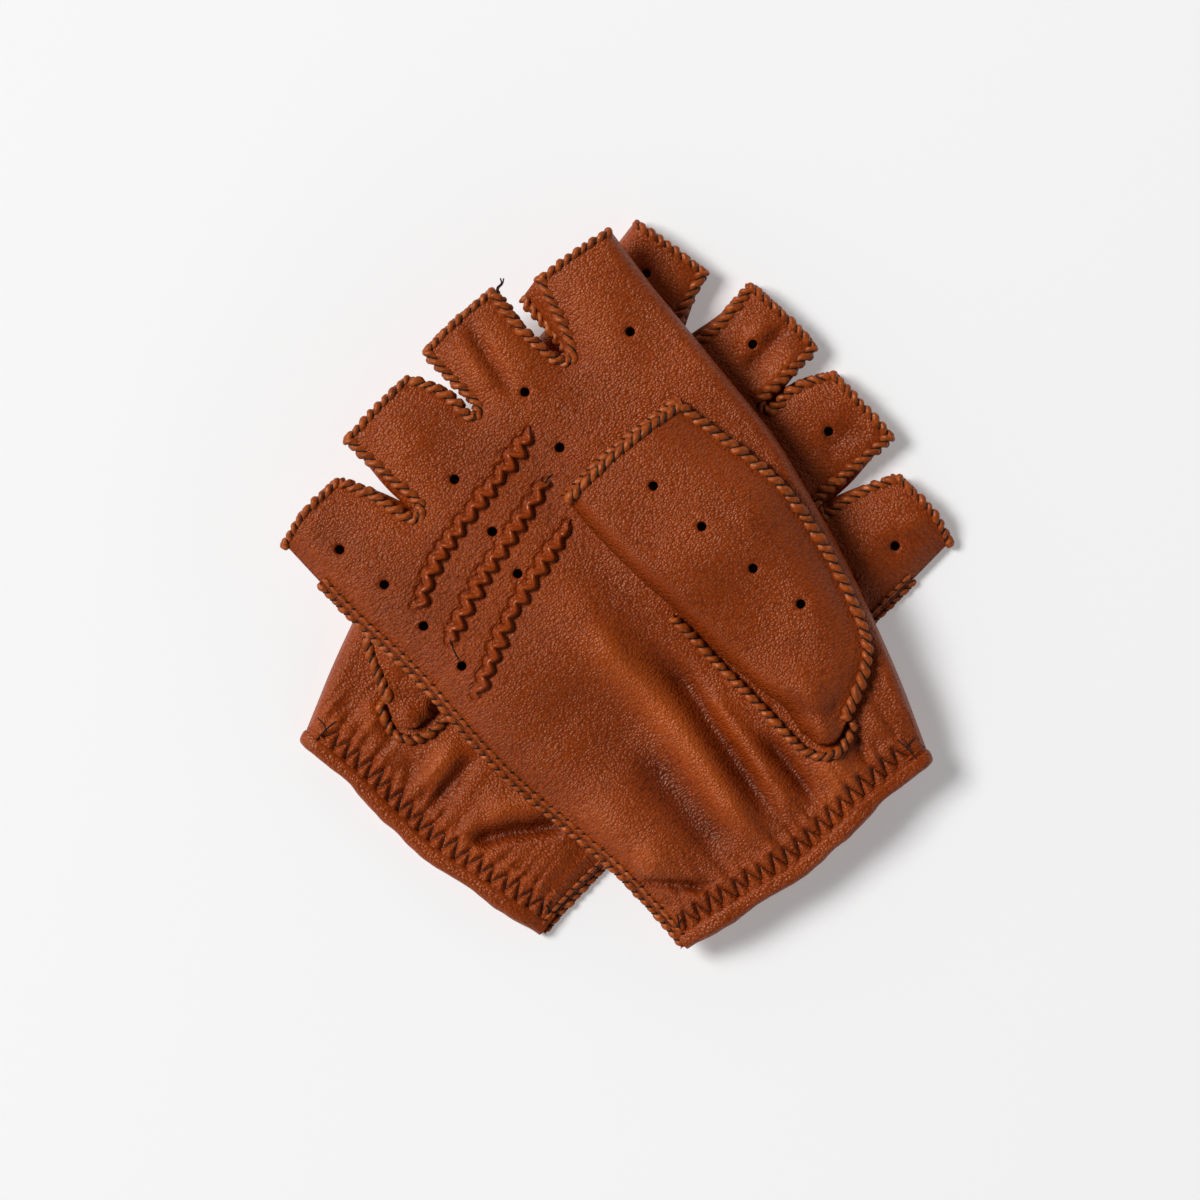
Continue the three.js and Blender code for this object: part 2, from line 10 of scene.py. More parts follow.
import bpy
import numpy as np
from mathutils.geometry import delaunay_2d_cdt
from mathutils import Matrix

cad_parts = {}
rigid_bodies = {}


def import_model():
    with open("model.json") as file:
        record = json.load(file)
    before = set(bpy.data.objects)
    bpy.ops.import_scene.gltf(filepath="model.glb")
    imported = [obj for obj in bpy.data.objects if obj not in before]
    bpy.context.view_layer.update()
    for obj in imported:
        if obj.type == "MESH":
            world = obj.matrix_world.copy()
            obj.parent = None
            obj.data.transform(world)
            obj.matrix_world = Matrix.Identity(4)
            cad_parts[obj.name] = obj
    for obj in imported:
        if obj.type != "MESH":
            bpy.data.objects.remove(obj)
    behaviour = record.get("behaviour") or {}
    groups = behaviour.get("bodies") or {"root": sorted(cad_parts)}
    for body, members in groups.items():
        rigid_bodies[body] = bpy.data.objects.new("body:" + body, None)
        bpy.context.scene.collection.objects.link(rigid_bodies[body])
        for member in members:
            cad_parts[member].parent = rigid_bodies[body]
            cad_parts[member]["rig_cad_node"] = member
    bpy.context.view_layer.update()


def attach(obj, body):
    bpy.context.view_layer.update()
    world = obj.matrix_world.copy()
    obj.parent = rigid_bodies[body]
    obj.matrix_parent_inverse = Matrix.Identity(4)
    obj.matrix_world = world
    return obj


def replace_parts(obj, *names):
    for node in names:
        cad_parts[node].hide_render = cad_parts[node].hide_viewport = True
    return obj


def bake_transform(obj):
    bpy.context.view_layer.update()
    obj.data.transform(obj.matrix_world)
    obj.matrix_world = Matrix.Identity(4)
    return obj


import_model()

# %% [markdown]
# Everything is drawn once, in millimetres, on one cutting pattern: u runs towards the index finger
# and v from the cuff to the fingertips. The left glove is the same pattern turned over. The last
# step lays a pattern point, with its height w, into the frame in metres.

# %% Where a glove lies
MM = 0.001
SIDES = ("right", "left")
TURN = np.radians(-76.5)
RIGHT_SHIFT = (0.232, -74.290)
LEFT_SHIFT = (-68.868, -16.490)


def lay(side, points):
    """Pattern points (u, v, w) to the frame: the right glove slides; the left is mirrored and turned."""
    u, v, w = np.moveaxis(np.asarray(points, float), -1, 0)
    if side == "right":
        x = u + RIGHT_SHIFT[0]
        y = v + RIGHT_SHIFT[1]
    else:
        x = -u * np.cos(TURN) - v * np.sin(TURN) + LEFT_SHIFT[0]
        y = -u * np.sin(TURN) + v * np.cos(TURN) + LEFT_SHIFT[1]
    return np.stack([x, y, w], -1) * MM


print("a palm's middle lies at", lay("right", [0, 60, 15]).round(4), lay("left", [0, 60, 5]).round(4))

# %% [markdown]
# Curves come first. A cutter draws a few points and lets the knife run smoothly through them, and
# a Catmull-Rom spline does the same. Two measures follow every curve about: how far a point is
# from it, and how far along it the nearest spot is. Nearly every shape below is written with them.

# %% Curves and distances


def unit(vectors):
    """The same directions at length one."""
    return vectors / np.linalg.norm(vectors, axis=-1, keepdims=True)


def bell(distance, width):
    """A bell of height one: e to the power of minus the square of distance over width."""
    return np.exp(-((distance / width) ** 2))


def turns(count):
    """So many even angles round a circle."""
    return np.arange(count) * 2 * np.pi / count


def arc_length(path):
    """How far along a path each of its points lies."""
    return np.concatenate([[0], np.cumsum(np.linalg.norm(np.diff(path, axis=0), axis=1))])


def resampled(path, step):
    """The same path with points an even step apart: each coordinate interpolated on arc length."""
    reached = arc_length(path)
    at = np.linspace(0, reached[-1], max(2, int(round(reached[-1] / step)) + 1))
    return np.stack([np.interp(at, reached, column) for column in path.T], 1)


def curve(points, step=0.9):
    """Catmull-Rom: each stretch is the cubic whose ends point along the chord of their neighbours."""
    p = np.asarray(points, float)
    p = np.vstack([2 * p[0] - p[1], p, 2 * p[-1] - p[-2]])
    a, b, c, d = (p[k : len(p) - 3 + k, None] for k in range(4))
    t = np.linspace(0, 1, 16, endpoint=False)[None, :, None]
    cubic = b + t * ((c - a) / 2 + t * (a - 2.5 * b + 2 * c - d / 2 + t * (1.5 * (b - c) + (d - a) / 2)))
    return resampled(np.vstack([cubic.reshape(-1, p.shape[1]), p[-2:-1]]), step)


def even(path, count):
    """A path as so many points, evenly spaced."""
    return resampled(path, arc_length(path)[-1] / (count - 1))


def from_line(line, points):
    """Distance to a line, and how far along it the nearest spot is: the least over its stretches."""
    line = line[np.append(True, np.linalg.norm(np.diff(line, axis=0), axis=1) > 1e-6)]
    start = line[:-1]
    run = np.diff(line, axis=0)
    length = np.linalg.norm(run, axis=1)
    away = points[:, None] - start
    share = np.clip((away * run).sum(2) / length**2, 0, 1)
    gap = np.linalg.norm(away - share[..., None] * run, axis=2)
    nearest = gap.argmin(1)
    row = np.arange(len(points))
    reached = np.concatenate([[0], np.cumsum(length)])
    return gap[row, nearest], reached[nearest] + share[row, nearest] * length[nearest]


def rise(x, low, high):
    """A smooth step from 0 at low to 1 at high: three times the square less twice the cube."""
    t = np.clip((x - low) / (high - low), 0, 1)
    return t * t * (3 - 2 * t)


def inside(flat, outline):
    """True where a point lies inside a closed outline: it crosses an odd number of its sides."""
    a = outline
    b = np.roll(outline, -1, 0)
    answers = []
    for block in np.array_split(flat, 1 + len(flat) // 4000):
        u, v = block[:, :1], block[:, 1:]
        spans = (a[:, 1] > v) != (b[:, 1] > v)
        rising = np.where(b[:, 1] == a[:, 1], 1, b[:, 1] - a[:, 1])
        crossing = a[:, 0] + (v - a[:, 1]) * (b[:, 0] - a[:, 0]) / rising
        answers.append((spans & (u < crossing)).sum(1) % 2 == 1)
    return np.concatenate(answers)


def beside(path, distance):
    """The path moved to the left of its travel, at right angles to the chord of the neighbours."""
    along = np.gradient(path, axis=0)
    return path + distance * unit(np.stack([-along[:, 1], along[:, 0]], 1))


# %% [markdown]
# The pattern of the hand, counter-clockwise from the cuff. Four half fingers are parted by three
# slots. The tips and slots are bound edges, the long left side is the closed seam below the little
# finger, and the right side is no edge at all: there the leather folds round to the back.

# %% The cutting pattern
CUFF = curve([[-36.9, 0.5], [-15, -1.6], [-4, -2.7], [8.6, -1.9], [22, -0.3], [37, 0]], 0.5)
FOLD = curve([[37, 0], [39.4, 7.8], [42.8, 19.3], [46.2, 33.2], [50.2, 52], [52.8, 71.6], [54, 84],
              [53.4, 110], [52.8, 128], [53, 145.4]], 1.0)
INDEX_TIP = curve([[52.9, 145.4], [42.3, 146.2], [32.2, 146.3]], 0.8)
INDEX_SLOT = curve([[31.8, 146.5], [30.6, 139], [29.4, 133], [28, 128.6], [26.6, 127], [25.3, 128.6],
                    [24.2, 133], [23.1, 140], [23.2, 150]], 0.8)
MIDDLE_TIP = curve([[22.9, 151], [10, 150.4], [0.3, 149]], 0.8)
MIDDLE_SLOT = curve([[0.2, 148.5], [1.0, 141], [1.7, 135.5], [2.3, 131.6], [1.5, 130], [0.7, 131.6],
                     [0.5, 135.5], [-1.5, 141], [-5, 146]], 0.8)
RING_TIP = curve([[-5.4, 147], [-15.8, 145.7], [-26.8, 144]], 0.8)
RING_SLOT = curve([[-27.1, 143.5], [-25.4, 135], [-24.3, 129], [-23, 123.5], [-22.7, 120.8], [-23.9, 119.6],
                   [-25.1, 120.8], [-26.4, 125], [-28.6, 130.5], [-32.5, 137]], 0.8)
LITTLE_TIP = curve([[-33, 137.8], [-45, 136.5], [-54, 133]], 0.8)
SIDE = curve([[-53.8, 132.5], [-51.5, 110], [-48.2, 90], [-46.6, 66], [-44.5, 51], [-41.6, 38.5],
              [-38.6, 24], [-37, 8], [-36.9, 0.5]], 1.0)
BACK_INDEX_TIP = curve([[52.9, 145.4], [40, 145.6], [26.2, 144.9]], 0.8)
BACK_INDEX_SLOT = curve([[25.8, 144.6], [26, 139], [26.5, 133], [26.8, 129.6], [26, 128.2], [25.2, 129.6],
                         [24.1, 133], [23.4, 139], [23.6, 149.8]], 0.8)
TIPS = {"index": INDEX_TIP, "middle": MIDDLE_TIP, "ring": RING_TIP, "little": LITTLE_TIP}
SLOTS = {"index_middle": INDEX_SLOT, "middle_ring": MIDDLE_SLOT, "ring_little": RING_SLOT}
BACK_TIPS = {"right": {**TIPS, "index": BACK_INDEX_TIP}, "left": TIPS}
BACK_SLOTS = {"right": {**SLOTS, "index_middle": BACK_INDEX_SLOT}, "left": SLOTS}
VENTS = np.array([[-39.7, 110.8], [-38.3, 97.5], [-36.9, 84.6], [-12, 105.2], [-13.3, 93.8],
                  [12.5, 111.2], [42.1, 122.7], [-43, 123.7], [-11.6, 120.3], [13.9, 126.5]])
TIP_VENTS = np.array([[-13.8, 134.8], [13, 139.5], [43.1, 136.7]])
OPEN_VENTS = {"right": VENTS, "left": np.vstack([VENTS, TIP_VENTS])}
THUMB_VENTS = np.array([[34.9, 47.8], [31.1, 61.2], [27.5, 76.3], [24.3, 90.7]])
NO_VENTS = VENTS[:0]
VENT_RADIUS = 1.1
KNUCKLE = 119.0
print("the cuff is", round(float(CUFF[-1, 0] - CUFF[0, 0]), 1), "mm wide")

# %% [markdown]
# The thumb is one leather folded along the side towards the palm's middle and closed with a whip
# stitch on the other. Its base is sewn to the palm in a deep U, and this seam shows all the way up
# beside the fold.

# %% The thumb's pattern
THUMB_FOLD = curve([[16.6, 23], [17.1, 30.6], [15.2, 37.5], [12.7, 49.8], [11, 62.9], [8.6, 75.2],
                    [6.8, 88.4], [6, 101.7]], 0.8)
THUMB_BASE = curve([[16.6, 22.6], [17.6, 18.8], [20.3, 16.8], [23.4, 17], [27, 18.9]], 0.8)
THUMB_SEAM = curve([[27, 18.9], [32.2, 21.6], [37.8, 25], [41.8, 29], [44.8, 35.5], [48, 50],
                    [49.3, 62], [49.3, 73], [46.7, 84.4], [44.4, 93], [41.5, 103.2]], 0.8)
THUMB_TIP = curve([[41.5, 103.2], [24, 103.4], [6, 101.7]], 0.8)
BASE_SEAM = curve([[9, 64], [10.1, 57], [11, 48], [12.1, 40], [13, 32.7], [13.6, 26], [14.6, 20],
                   [17.4, 16], [21, 14.9], [25, 16.2], [28.5, 18.6]], 0.8)
THUMB_RIM = np.vstack([THUMB_FOLD, THUMB_TIP[::-1], THUMB_SEAM[::-1]])
THUMB_OUTLINE = np.vstack([THUMB_BASE, THUMB_SEAM, THUMB_TIP, THUMB_FOLD[::-1]])
THUMB_BEND = 64.2
print("the thumb is", round(float(np.ptp(THUMB_OUTLINE[:, 1]))), "mm long")

# %% [markdown]
# Three pin-tucks shape the palm below the fingers. Each is a pinch of leather oversewn so tightly
# that it waves from side to side. The waved line is the tuck's smooth line pushed left and right in
# nearly straight runs, as a sine's own arc is, and by hand: no wave is quite like the next.

# %% Pin-tucks and the cuff's zigzag
TUCK_WAVE = 3.8
TUCK_SWING = 0.88
WAVE_POINTS = 14
SHARPNESS = 0.93


def swell(flat, wavelength, seed, waves=14):
    """A soft random surface of height about one: a few sine waves of near length in all directions."""
    rng = np.random.default_rng(seed)
    angle = rng.uniform(0, 2 * np.pi, waves)
    pace = 2 * np.pi / (wavelength * rng.uniform(0.7, 1.5, waves))
    phase = rng.uniform(0, 2 * np.pi, waves)
    wave = np.cos(flat[:, :1] * (pace * np.cos(angle)) + flat[:, 1:2] * (pace * np.sin(angle)) + phase)
    return wave.sum(1) / np.sqrt(waves / 2)


def waved(points):
    """A smooth line pushed sideways: the arcsine of a flattened sine of its length over the wave."""
    path = curve(points, TUCK_WAVE / WAVE_POINTS)
    turn = 2 * np.pi * np.arange(len(path)) / WAVE_POINTS + 0.5 * swell(path, 17, 71)
    swing = TUCK_SWING * (1 + 0.22 * swell(path, 9, 72))
    swing *= np.arcsin(SHARPNESS * np.sin(turn)) / np.arcsin(SHARPNESS)
    return beside(path, swing[:, None])


TUCKS = [
    waved([[9, 118], [-1.2, 114.8], [-19.2, 110.2], [-28.6, 106.7], [-36.4, 101.5]]),
    waved([[5, 106.7], [-11.6, 101], [-20.4, 98], [-35.4, 91.2]]),
    waved([[3, 95.5], [-13.4, 89.7], [-22, 86.3], [-38.1, 76.9]]),
]
ZIGZAG_TEETH = 19
ZIGZAG_LOW = 3.4
ZIGZAG_HIGH = 7.3


def cuff_edge(u):
    """The v of the cuff's edge at u."""
    return np.interp(u, CUFF[:, 0], CUFF[:, 1])


zigzag_u = np.linspace(-32.6, 33.4, 2 * ZIGZAG_TEETH + 1)
zigzag_rng = np.random.default_rng(11)
zigzag_u = zigzag_u + zigzag_rng.uniform(-0.3, 0.3, len(zigzag_u))
zigzag_v = np.where(np.arange(len(zigzag_u)) % 2, ZIGZAG_HIGH, ZIGZAG_LOW)
zigzag_v = zigzag_v + cuff_edge(zigzag_u) + zigzag_rng.uniform(-0.4, 0.4, len(zigzag_u))
ZIGZAG = np.stack([zigzag_u, zigzag_v], 1)
print("tucks have", [len(tuck) for tuck in TUCKS], "points, the zigzag", len(ZIGZAG) - 1, "legs")

# %% [markdown]
# Worn leather is never flat. Each fold is a line on the pattern with a width, a height in
# millimetres that is negative for a valley, and ends that fade out. The palm's long soft folds
# all run up from the gathered wrist.

# %% Folds of each glove
FOLDS = {
    "right": [
        ([[1.4, 64], [1.8, 49], [0.8, 36], [-0.4, 21], [-1.8, 7.5]], 2.8, -3.0, 15),
        ([[-6.6, 78], [-6.8, 61], [-5.6, 41], [-6.4, 23], [-7.4, 8]], 4.4, 2.6, 13),
        ([[-16, 47], [-15.6, 30], [-15, 18], [-14.4, 8]], 4.8, -2.6, 12),
        ([[-20, 72], [-24, 52]], 8, -0.9, 10),
        ([[-33, 46], [-31, 24]], 7, 1.5, 12),
        ([[5.2, 47], [5.0, 30], [3.8, 14], [3.4, 6]], 2.4, 1.5, 9),
        ([[9.2, 31], [9.8, 17.4], [9.0, 6.5]], 2.0, -2.8, 8),
        ([[17.6, 20], [18.0, 5]], 2.9, 2.0, 6),
        ([[27.8, 21], [26.8, 16.5], [24.4, 7.5]], 1.3, -2.2, 6),
        ([[32, 24], [31.5, 8.5]], 2.4, 0.9, 5),
        ([[-39, 20.8], [-31, 15.6], [-21.8, 6.7]], 1.2, -2.6, 4),
        ([[-35, 25], [-24, 17.5]], 4.2, 1.5, 8),
        ([[-34, 62], [-33, 44]], 9, 0.8, 14),
        ([[13.6, 150], [12, 138], [11.6, 125]], 1.9, -2.1, 9),
        ([[8.6, 148], [7.8, 130]], 3.0, 0.6, 6),
        ([[-44, 133], [-41, 120]], 3, -0.8, 5),
        ([[-16, 146], [-14, 128]], 4, 0.5, 5),
        ([[40, 143], [36, 112]], 6, 0.7, 12),
    ],
    "left": [
        ([[-9.5, 6], [-12.4, 11], [-17, 16.5], [-24, 24]], 1.9, -3.3, 4),
        ([[-6, 13], [-12, 19], [-18, 27]], 3.6, 1.9, 6),
        ([[3.4, 6.5], [2.6, 24]], 1.6, -2.2, 5),
        ([[7.4, 7], [8.4, 24]], 2.6, 1.8, 6),
        ([[13, 8], [13.4, 14.5]], 1.5, -1.7, 4),
        ([[31.8, 19.6], [24.1, 10.7]], 2.0, 1.4, 4),
        ([[27.5, 22], [19.5, 11.5]], 1.6, -1.2, 4),
        ([[36, 16], [31, 9]], 2.2, -0.9, 4),
        ([[-28, 30], [-31, 14]], 3.0, -0.8, 8),
        ([[3.5, 147], [4.2, 134], [5.5, 128]], 2.4, 1.5, 6),
        ([[9.4, 149], [10.0, 140], [10.4, 132]], 1.7, -1.7, 5),
        ([[14.6, 147], [13.8, 136]], 2.4, 1.0, 5),
        ([[-22, 142], [-14, 132]], 2.0, -0.8, 5),
        ([[-46, 134], [-40, 126]], 2.2, 0.9, 5),
        ([[-16, 146], [-17, 128]], 3.0, -0.7, 5),
        ([[-44, 133], [-42, 118]], 3.0, -0.7, 5),
    ],
}


def folded(creases, flat, step=1.5, start=0, least=0.12):
    """The sum of each fold's height times a bell of the distance, faded at both of its ends from one
    to least. start is where along the fold the fading begins."""
    total = np.zeros(len(flat))
    for points, width, height, fade in creases:
        path = curve(points, step)
        gap, where = from_line(path, flat)
        length = arc_length(path)[-1]
        full = rise(where, start, fade) * rise(length - where, start, fade)
        total += height * bell(gap, width) * (least + (1 - least) * full)
    return total


print("folds:", {side: len(FOLDS[side]) for side in SIDES})

# %% [markdown]
# Small relief: the leather rises to each tuck from a ditch at its foot, the zigzag bites in and the
# skin puckers between its legs, and short gathers run up from it where the elastic pulls the
# wrist in.

# %% Tucks, puckers and gathers


def from_vents(points, vents):
    """Distance from each point to the nearest vent's middle; far away where a skin has no vents."""
    far = np.full((len(points), 1), 1e3)
    return np.hstack([far, np.linalg.norm(points[:, None] - vents, axis=2)]).min(1)


def tuck_relief(flat):
    """A low ridge along each waved line, and a ditch at its foot; the cord itself is a piece."""
    total = np.zeros(len(flat))
    for tuck in TUCKS:
        gap = from_line(tuck, flat)[0]
        total += 0.3 * bell(gap, 0.8) - 0.6 * bell(gap - 1.2, 0.5)
    return total


def closed_vents(side, flat):
    """Dimples where a vent has drawn shut."""
    shut = TIP_VENTS if side == "right" else NO_VENTS
    return -0.45 * bell(from_vents(flat, shut), 0.7)


def cuff_relief(side, flat):
    """Grooves under the zigzag's legs, leaf-shaped puckers between them, and fading gathers above."""
    u = flat[:, 0]
    up = flat[:, 1] - cuff_edge(u)
    gap = from_line(ZIGZAG, flat)[0]
    band = rise(up, 1.0, 3.2) * (1 - rise(up, 8.0, 11))
    hem_crease = -0.25 * bell(up - 3.0, 0.7)
    legs = -0.6 * bell(gap, 0.36) + 0.65 * band * rise(gap, 0.1, 1.2)
    ends = np.abs(u[:, None] - ZIGZAG[None, :, 0])
    low = ends[:, 0::2].min(1)
    high = ends[:, 1::2].min(1)
    tails = -0.32 * bell(low, 0.5) * rise(up, 0.6, 2.4) * (1 - rise(up, 2.9, 3.6))
    heads = -0.36 * bell(high, 0.6) * rise(up, 7.0, 8.0) * np.exp(-np.maximum(up - 8, 0) / 2.2)
    drift = 2.2 * swell(flat * [1, 0.25], 26, 31 if side == "right" else 32)
    pace = 2 * np.pi * (u + drift) / 4.4
    gathers = 0.34 * (np.cos(pace) + 0.45 * np.cos(1.63 * pace + 1.1)) * rise(up, 7, 10)
    gathers *= np.exp(-np.maximum(up - 9, 0) / 7)
    return legs * (np.abs(u) < 34.6) + tails + heads + gathers + hem_crease


# %% [markdown]
# Now the whole form. Room for a hand opens from the closed side seam; the index side is a half
# round; fingers are crowned between their slots; the wrist dips where the elastic holds it. The
# right glove also climbs onto the left one's thumb, so its whole ground rises towards the fingers.

# %% The form of a hand
HAND_THICK = 6.8
SEAM_THICK = 2.1
FOLD_RADIUS = HAND_THICK / 2
THUMB_THICK = 6.4
THUMB_REST = 0.6
ON_LEFT_PALM = 8.6
THUMB_CLIMB = 5.5
CLIMB_FROM = 44.7
CLIMB_TO = 78.7
CUFF_DROOP = 2
DROOP_LENGTH = 20


def ground(side, v):
    """The height that a glove's back lies at: the table, or the left glove's palm and then its thumb."""
    if side == "left":
        return np.zeros_like(v)
    climb = THUMB_CLIMB * rise(v, CLIMB_FROM, CLIMB_TO)
    return ON_LEFT_PALM + climb - CUFF_DROOP * np.maximum(0, 1 - v / DROOP_LENGTH)


def folded_round(top, bottom, middle, gap, radius):
    """Both heights drawn to the middle on a half round, within a radius of the fold."""
    share = np.sqrt(1 - (1 - np.clip(gap / radius, 0, 1)) ** 2)
    return middle + (top - middle) * share, middle + (bottom - middle) * share, share


def nearest(paths, flat):
    """The distance to whichever of some paths is nearest."""
    return np.min([from_line(path, flat)[0] for path in paths], 0)


def hand_shape(side, flat):
    """Top and bottom heights, and how much of the top is small relief.
    The top is the ground plus the room, which opens as a quarter round from the seam."""
    v = flat[:, 1]
    base = ground(side, v)
    seam = from_line(SIDE, flat)[0]
    tip = nearest(TIPS.values(), flat)
    slot = nearest(SLOTS.values(), flat)
    arch = 1 - (1 - np.clip((seam - 1.5) / 14, 0, 1)) ** 2.4
    thick = SEAM_THICK + (HAND_THICK - SEAM_THICK) * arch
    drawn_in = 1 - rise(v - cuff_edge(flat[:, 0]), 3, 16)
    thick = thick - 1.1 * drawn_in * arch
    thick = thick - 1.5 * np.exp(-((slot / 3.2) ** 1.3)) * arch - 0.6 * np.exp(-tip / 3) * arch
    relief = tuck_relief(flat) + cuff_relief(side, flat) + closed_vents(side, flat)
    creases = folded(FOLDS[side], flat) + 0.32 * swell(flat, 30, 5 if side == "right" else 6)
    thumb = rise(from_line(THUMB_RIM, flat)[0], 0, 5)
    creases = creases * np.where(inside(flat, THUMB_OUTLINE), 0, 0.25 + 0.75 * thumb)
    quiet = rise(seam, 1, 6)
    top = base + thick + creases * quiet * 0.9 + relief * rise(seam, 1.5, 4.5)
    below = 0.25 * (1 + swell(flat, 24, 8)) + 0.7 * bell(v - 112, 8)
    bottom = base + below * rise(seam, 2, 9)
    middle = base + FOLD_RADIUS - 0.5 * drawn_in
    top, bottom, share = folded_round(top, bottom, middle, from_line(FOLD, flat)[0], FOLD_RADIUS)
    return top, bottom, (creases * quiet + relief) * share


print("palm heights:", [hand_shape(side, np.array([[0.0, 60.0]]))[0].round(1) for side in SIDES])

# %% [markdown]
# A skin is cut like real leather: scatter points over the hide, closer together where the relief
# is fine, join them into triangles, and throw away whatever is outside the outline or in a vent.
# A constrained triangulation keeps every cut edge exactly where the pattern has it.

# %% Cutting a skin
VENT_SIDES = 14
RING = np.stack([np.cos(turns(VENT_SIDES)), np.sin(turns(VENT_SIDES))], 1)
FOLD_ROWS = (22, 42, 60, 76, 90)


def scattered(low, high, step):
    """Points on a grid of even triangles that covers a box."""
    rows = np.arange(low[1], high[1], step * 0.866)
    columns = np.arange(low[0], high[0], step)
    u, v = np.meshgrid(columns, rows)
    u = u + (np.arange(len(rows)) % 2 * step / 2)[:, None]
    return np.stack([u.ravel(), v.ravel()], 1)


def cut_skin(outline, vents, fine, step, fold=None, radius=0):
    """Triangulates an outline. fine is a list of (line, reach, step) round which the points are closer.
    Along a fold, rows of points lie at the radius less its cosine, so that the half round is even."""
    low = outline.min(0)
    high = outline.max(0)
    closed = np.vstack([outline, outline[:1]])
    points = scattered(low, high, step)
    for line, reach, spacing in fine:
        keep = from_line(line, points)[0] > reach
        dense = scattered(line.min(0) - reach, line.max(0) + reach, spacing)
        dense = dense[from_line(line, dense)[0] <= reach]
        points = np.vstack([points[keep], dense])
    if fold is not None:
        points = points[from_line(fold, points)[0] > radius + 0.4 * step]
        rows = [beside(fold, radius * (1 - np.cos(np.radians(angle))))[1:-1] for angle in FOLD_ROWS]
        points = np.vstack([points, *rows])
    gap = from_line(closed, points)[0]
    points = points[(gap > 0.3) & inside(points, outline)]
    points = points[from_vents(points, vents) > 2.3]
    rings = [(vents[:, None] + RING * out).reshape(-1, 2) for out in (VENT_RADIUS, 1.5, 2.0)]
    everything = np.vstack([outline, *rings, points])
    count = len(outline)
    edges = [np.stack([np.arange(count), np.roll(np.arange(count), -1)], 1)]
    ring = np.arange(len(vents) * VENT_SIDES).reshape(-1, VENT_SIDES) + count
    edges.append(np.stack([ring, np.roll(ring, -1, 1)], 2).reshape(-1, 2))
    made = delaunay_2d_cdt(everything.tolist(), np.vstack(edges).tolist(), [], 0, 1e-5)
    corners = np.array(made[0], float).reshape(-1, 2)
    triangles = np.array(made[2], int).reshape(-1, 3)
    middle = corners[triangles].mean(1)
    leather_there = inside(middle, outline) & (from_vents(middle, vents) > VENT_RADIUS * 0.97)
    return corners, triangles[leather_there]


def leather_outline(stretches, drawn_in):
    """Joins the stretches of an outline; drawn_in moves each stretch inwards by its own distance."""
    moved = [beside(path, by) for path, by in zip(stretches, drawn_in)]
    outline = np.vstack(moved)
    step = np.linalg.norm(outline - np.roll(outline, 1, 0), axis=1)
    return outline[step > 0.2]


# %% [markdown]
# Every mesh enters Blender through one function. It lays the points into the frame, turns the
# faces of the mirrored glove over, keeps the pattern's own coordinates as a UV map, so that the
# grain follows the hide and not the room, and keeps the relief as an attribute, from which the
# leather paints shade into valleys and a highlight onto ridges.

# %% Making a piece
CUT_MAP = "cut"
CUT_SCALE = 0.1


def add_piece(name, side, points, faces, cut, relief=None, finishes=(), coarse=0.3):
    """A mesh object at the origin: points in pattern millimetres, faces, cut coordinates, relief.
    coarse, from 0 to 1, is how strongly the hide is wrinkled."""
    faces = [np.asarray(block)[:, ::-1] if side == "left" else np.asarray(block) for block in faces]
    mesh = bpy.data.meshes.new(name)
    mesh.from_pydata(lay(side, points), [], [face for block in faces for face in block.tolist()])
    corner = np.zeros(len(mesh.loops), np.int32)
    mesh.loops.foreach_get("vertex_index", corner)
    chart = mesh.uv_layers.new(name=CUT_MAP)
    chart.uv.foreach_set("vector", (np.asarray(cut) * CUT_SCALE)[corner].astype(np.float32).ravel())
    height = np.zeros(len(points)) if relief is None else relief
    wrinkled = np.broadcast_to(coarse, len(points))
    # The relief attribute drives painted shade in valleys and painted highlight on ridges in the leather's
    # colour.
    for label, values in (("relief", height), ("coarse", wrinkled)):
        mesh.attributes.new(label, "FLOAT", "POINT").data.foreach_set("value", values.astype(np.float32))
    mesh.polygons.foreach_set("use_smooth", np.ones(len(mesh.polygons), bool))
    for finish in finishes:
        mesh.materials.append(finish)
    mesh.update()
    piece = bpy.data.objects.new(name, mesh)
    bpy.context.scene.collection.objects.link(piece)
    return piece


SKIN = {"trank": 0.8, "thumb": 0.75, "hem": 0.7, "gusset": 0.6, "tape": 0.5}


def thicken(piece, kind, inner=0):
    """Gives a skin its thickness, inwards from its grain side. inner is the finish of the flesh side."""
    wall = piece.modifiers.new("thickness", "SOLIDIFY")
    wall.thickness = SKIN[kind] * MM
    wall.offset = -1
    wall.material_offset = inner
    wall.material_offset_rim = 0
    return piece


def net(rings, sides, tubes=1, wrapped=True):
    """Quads between successive rings of a grid of points: tubes, then rings, then sides."""
    first = np.arange(tubes * rings * sides).reshape(tubes, rings, sides)
    across = np.roll(first, -1, 2)
    quads = np.stack([first[:, :-1], first[:, 1:], across[:, 1:], across[:, :-1]], -1)
    return quads[..., ::-1].reshape(-1, 4) if wrapped else quads[:, :, : sides - 1, ::-1].reshape(-1, 4)


# %% [markdown]
# Shader maths reads best as maths. This small wrapper carries a socket and turns + - * / into Math
# nodes, and one method adds any other node: its kind, its settings first, then its inputs.

# %% Writing materials


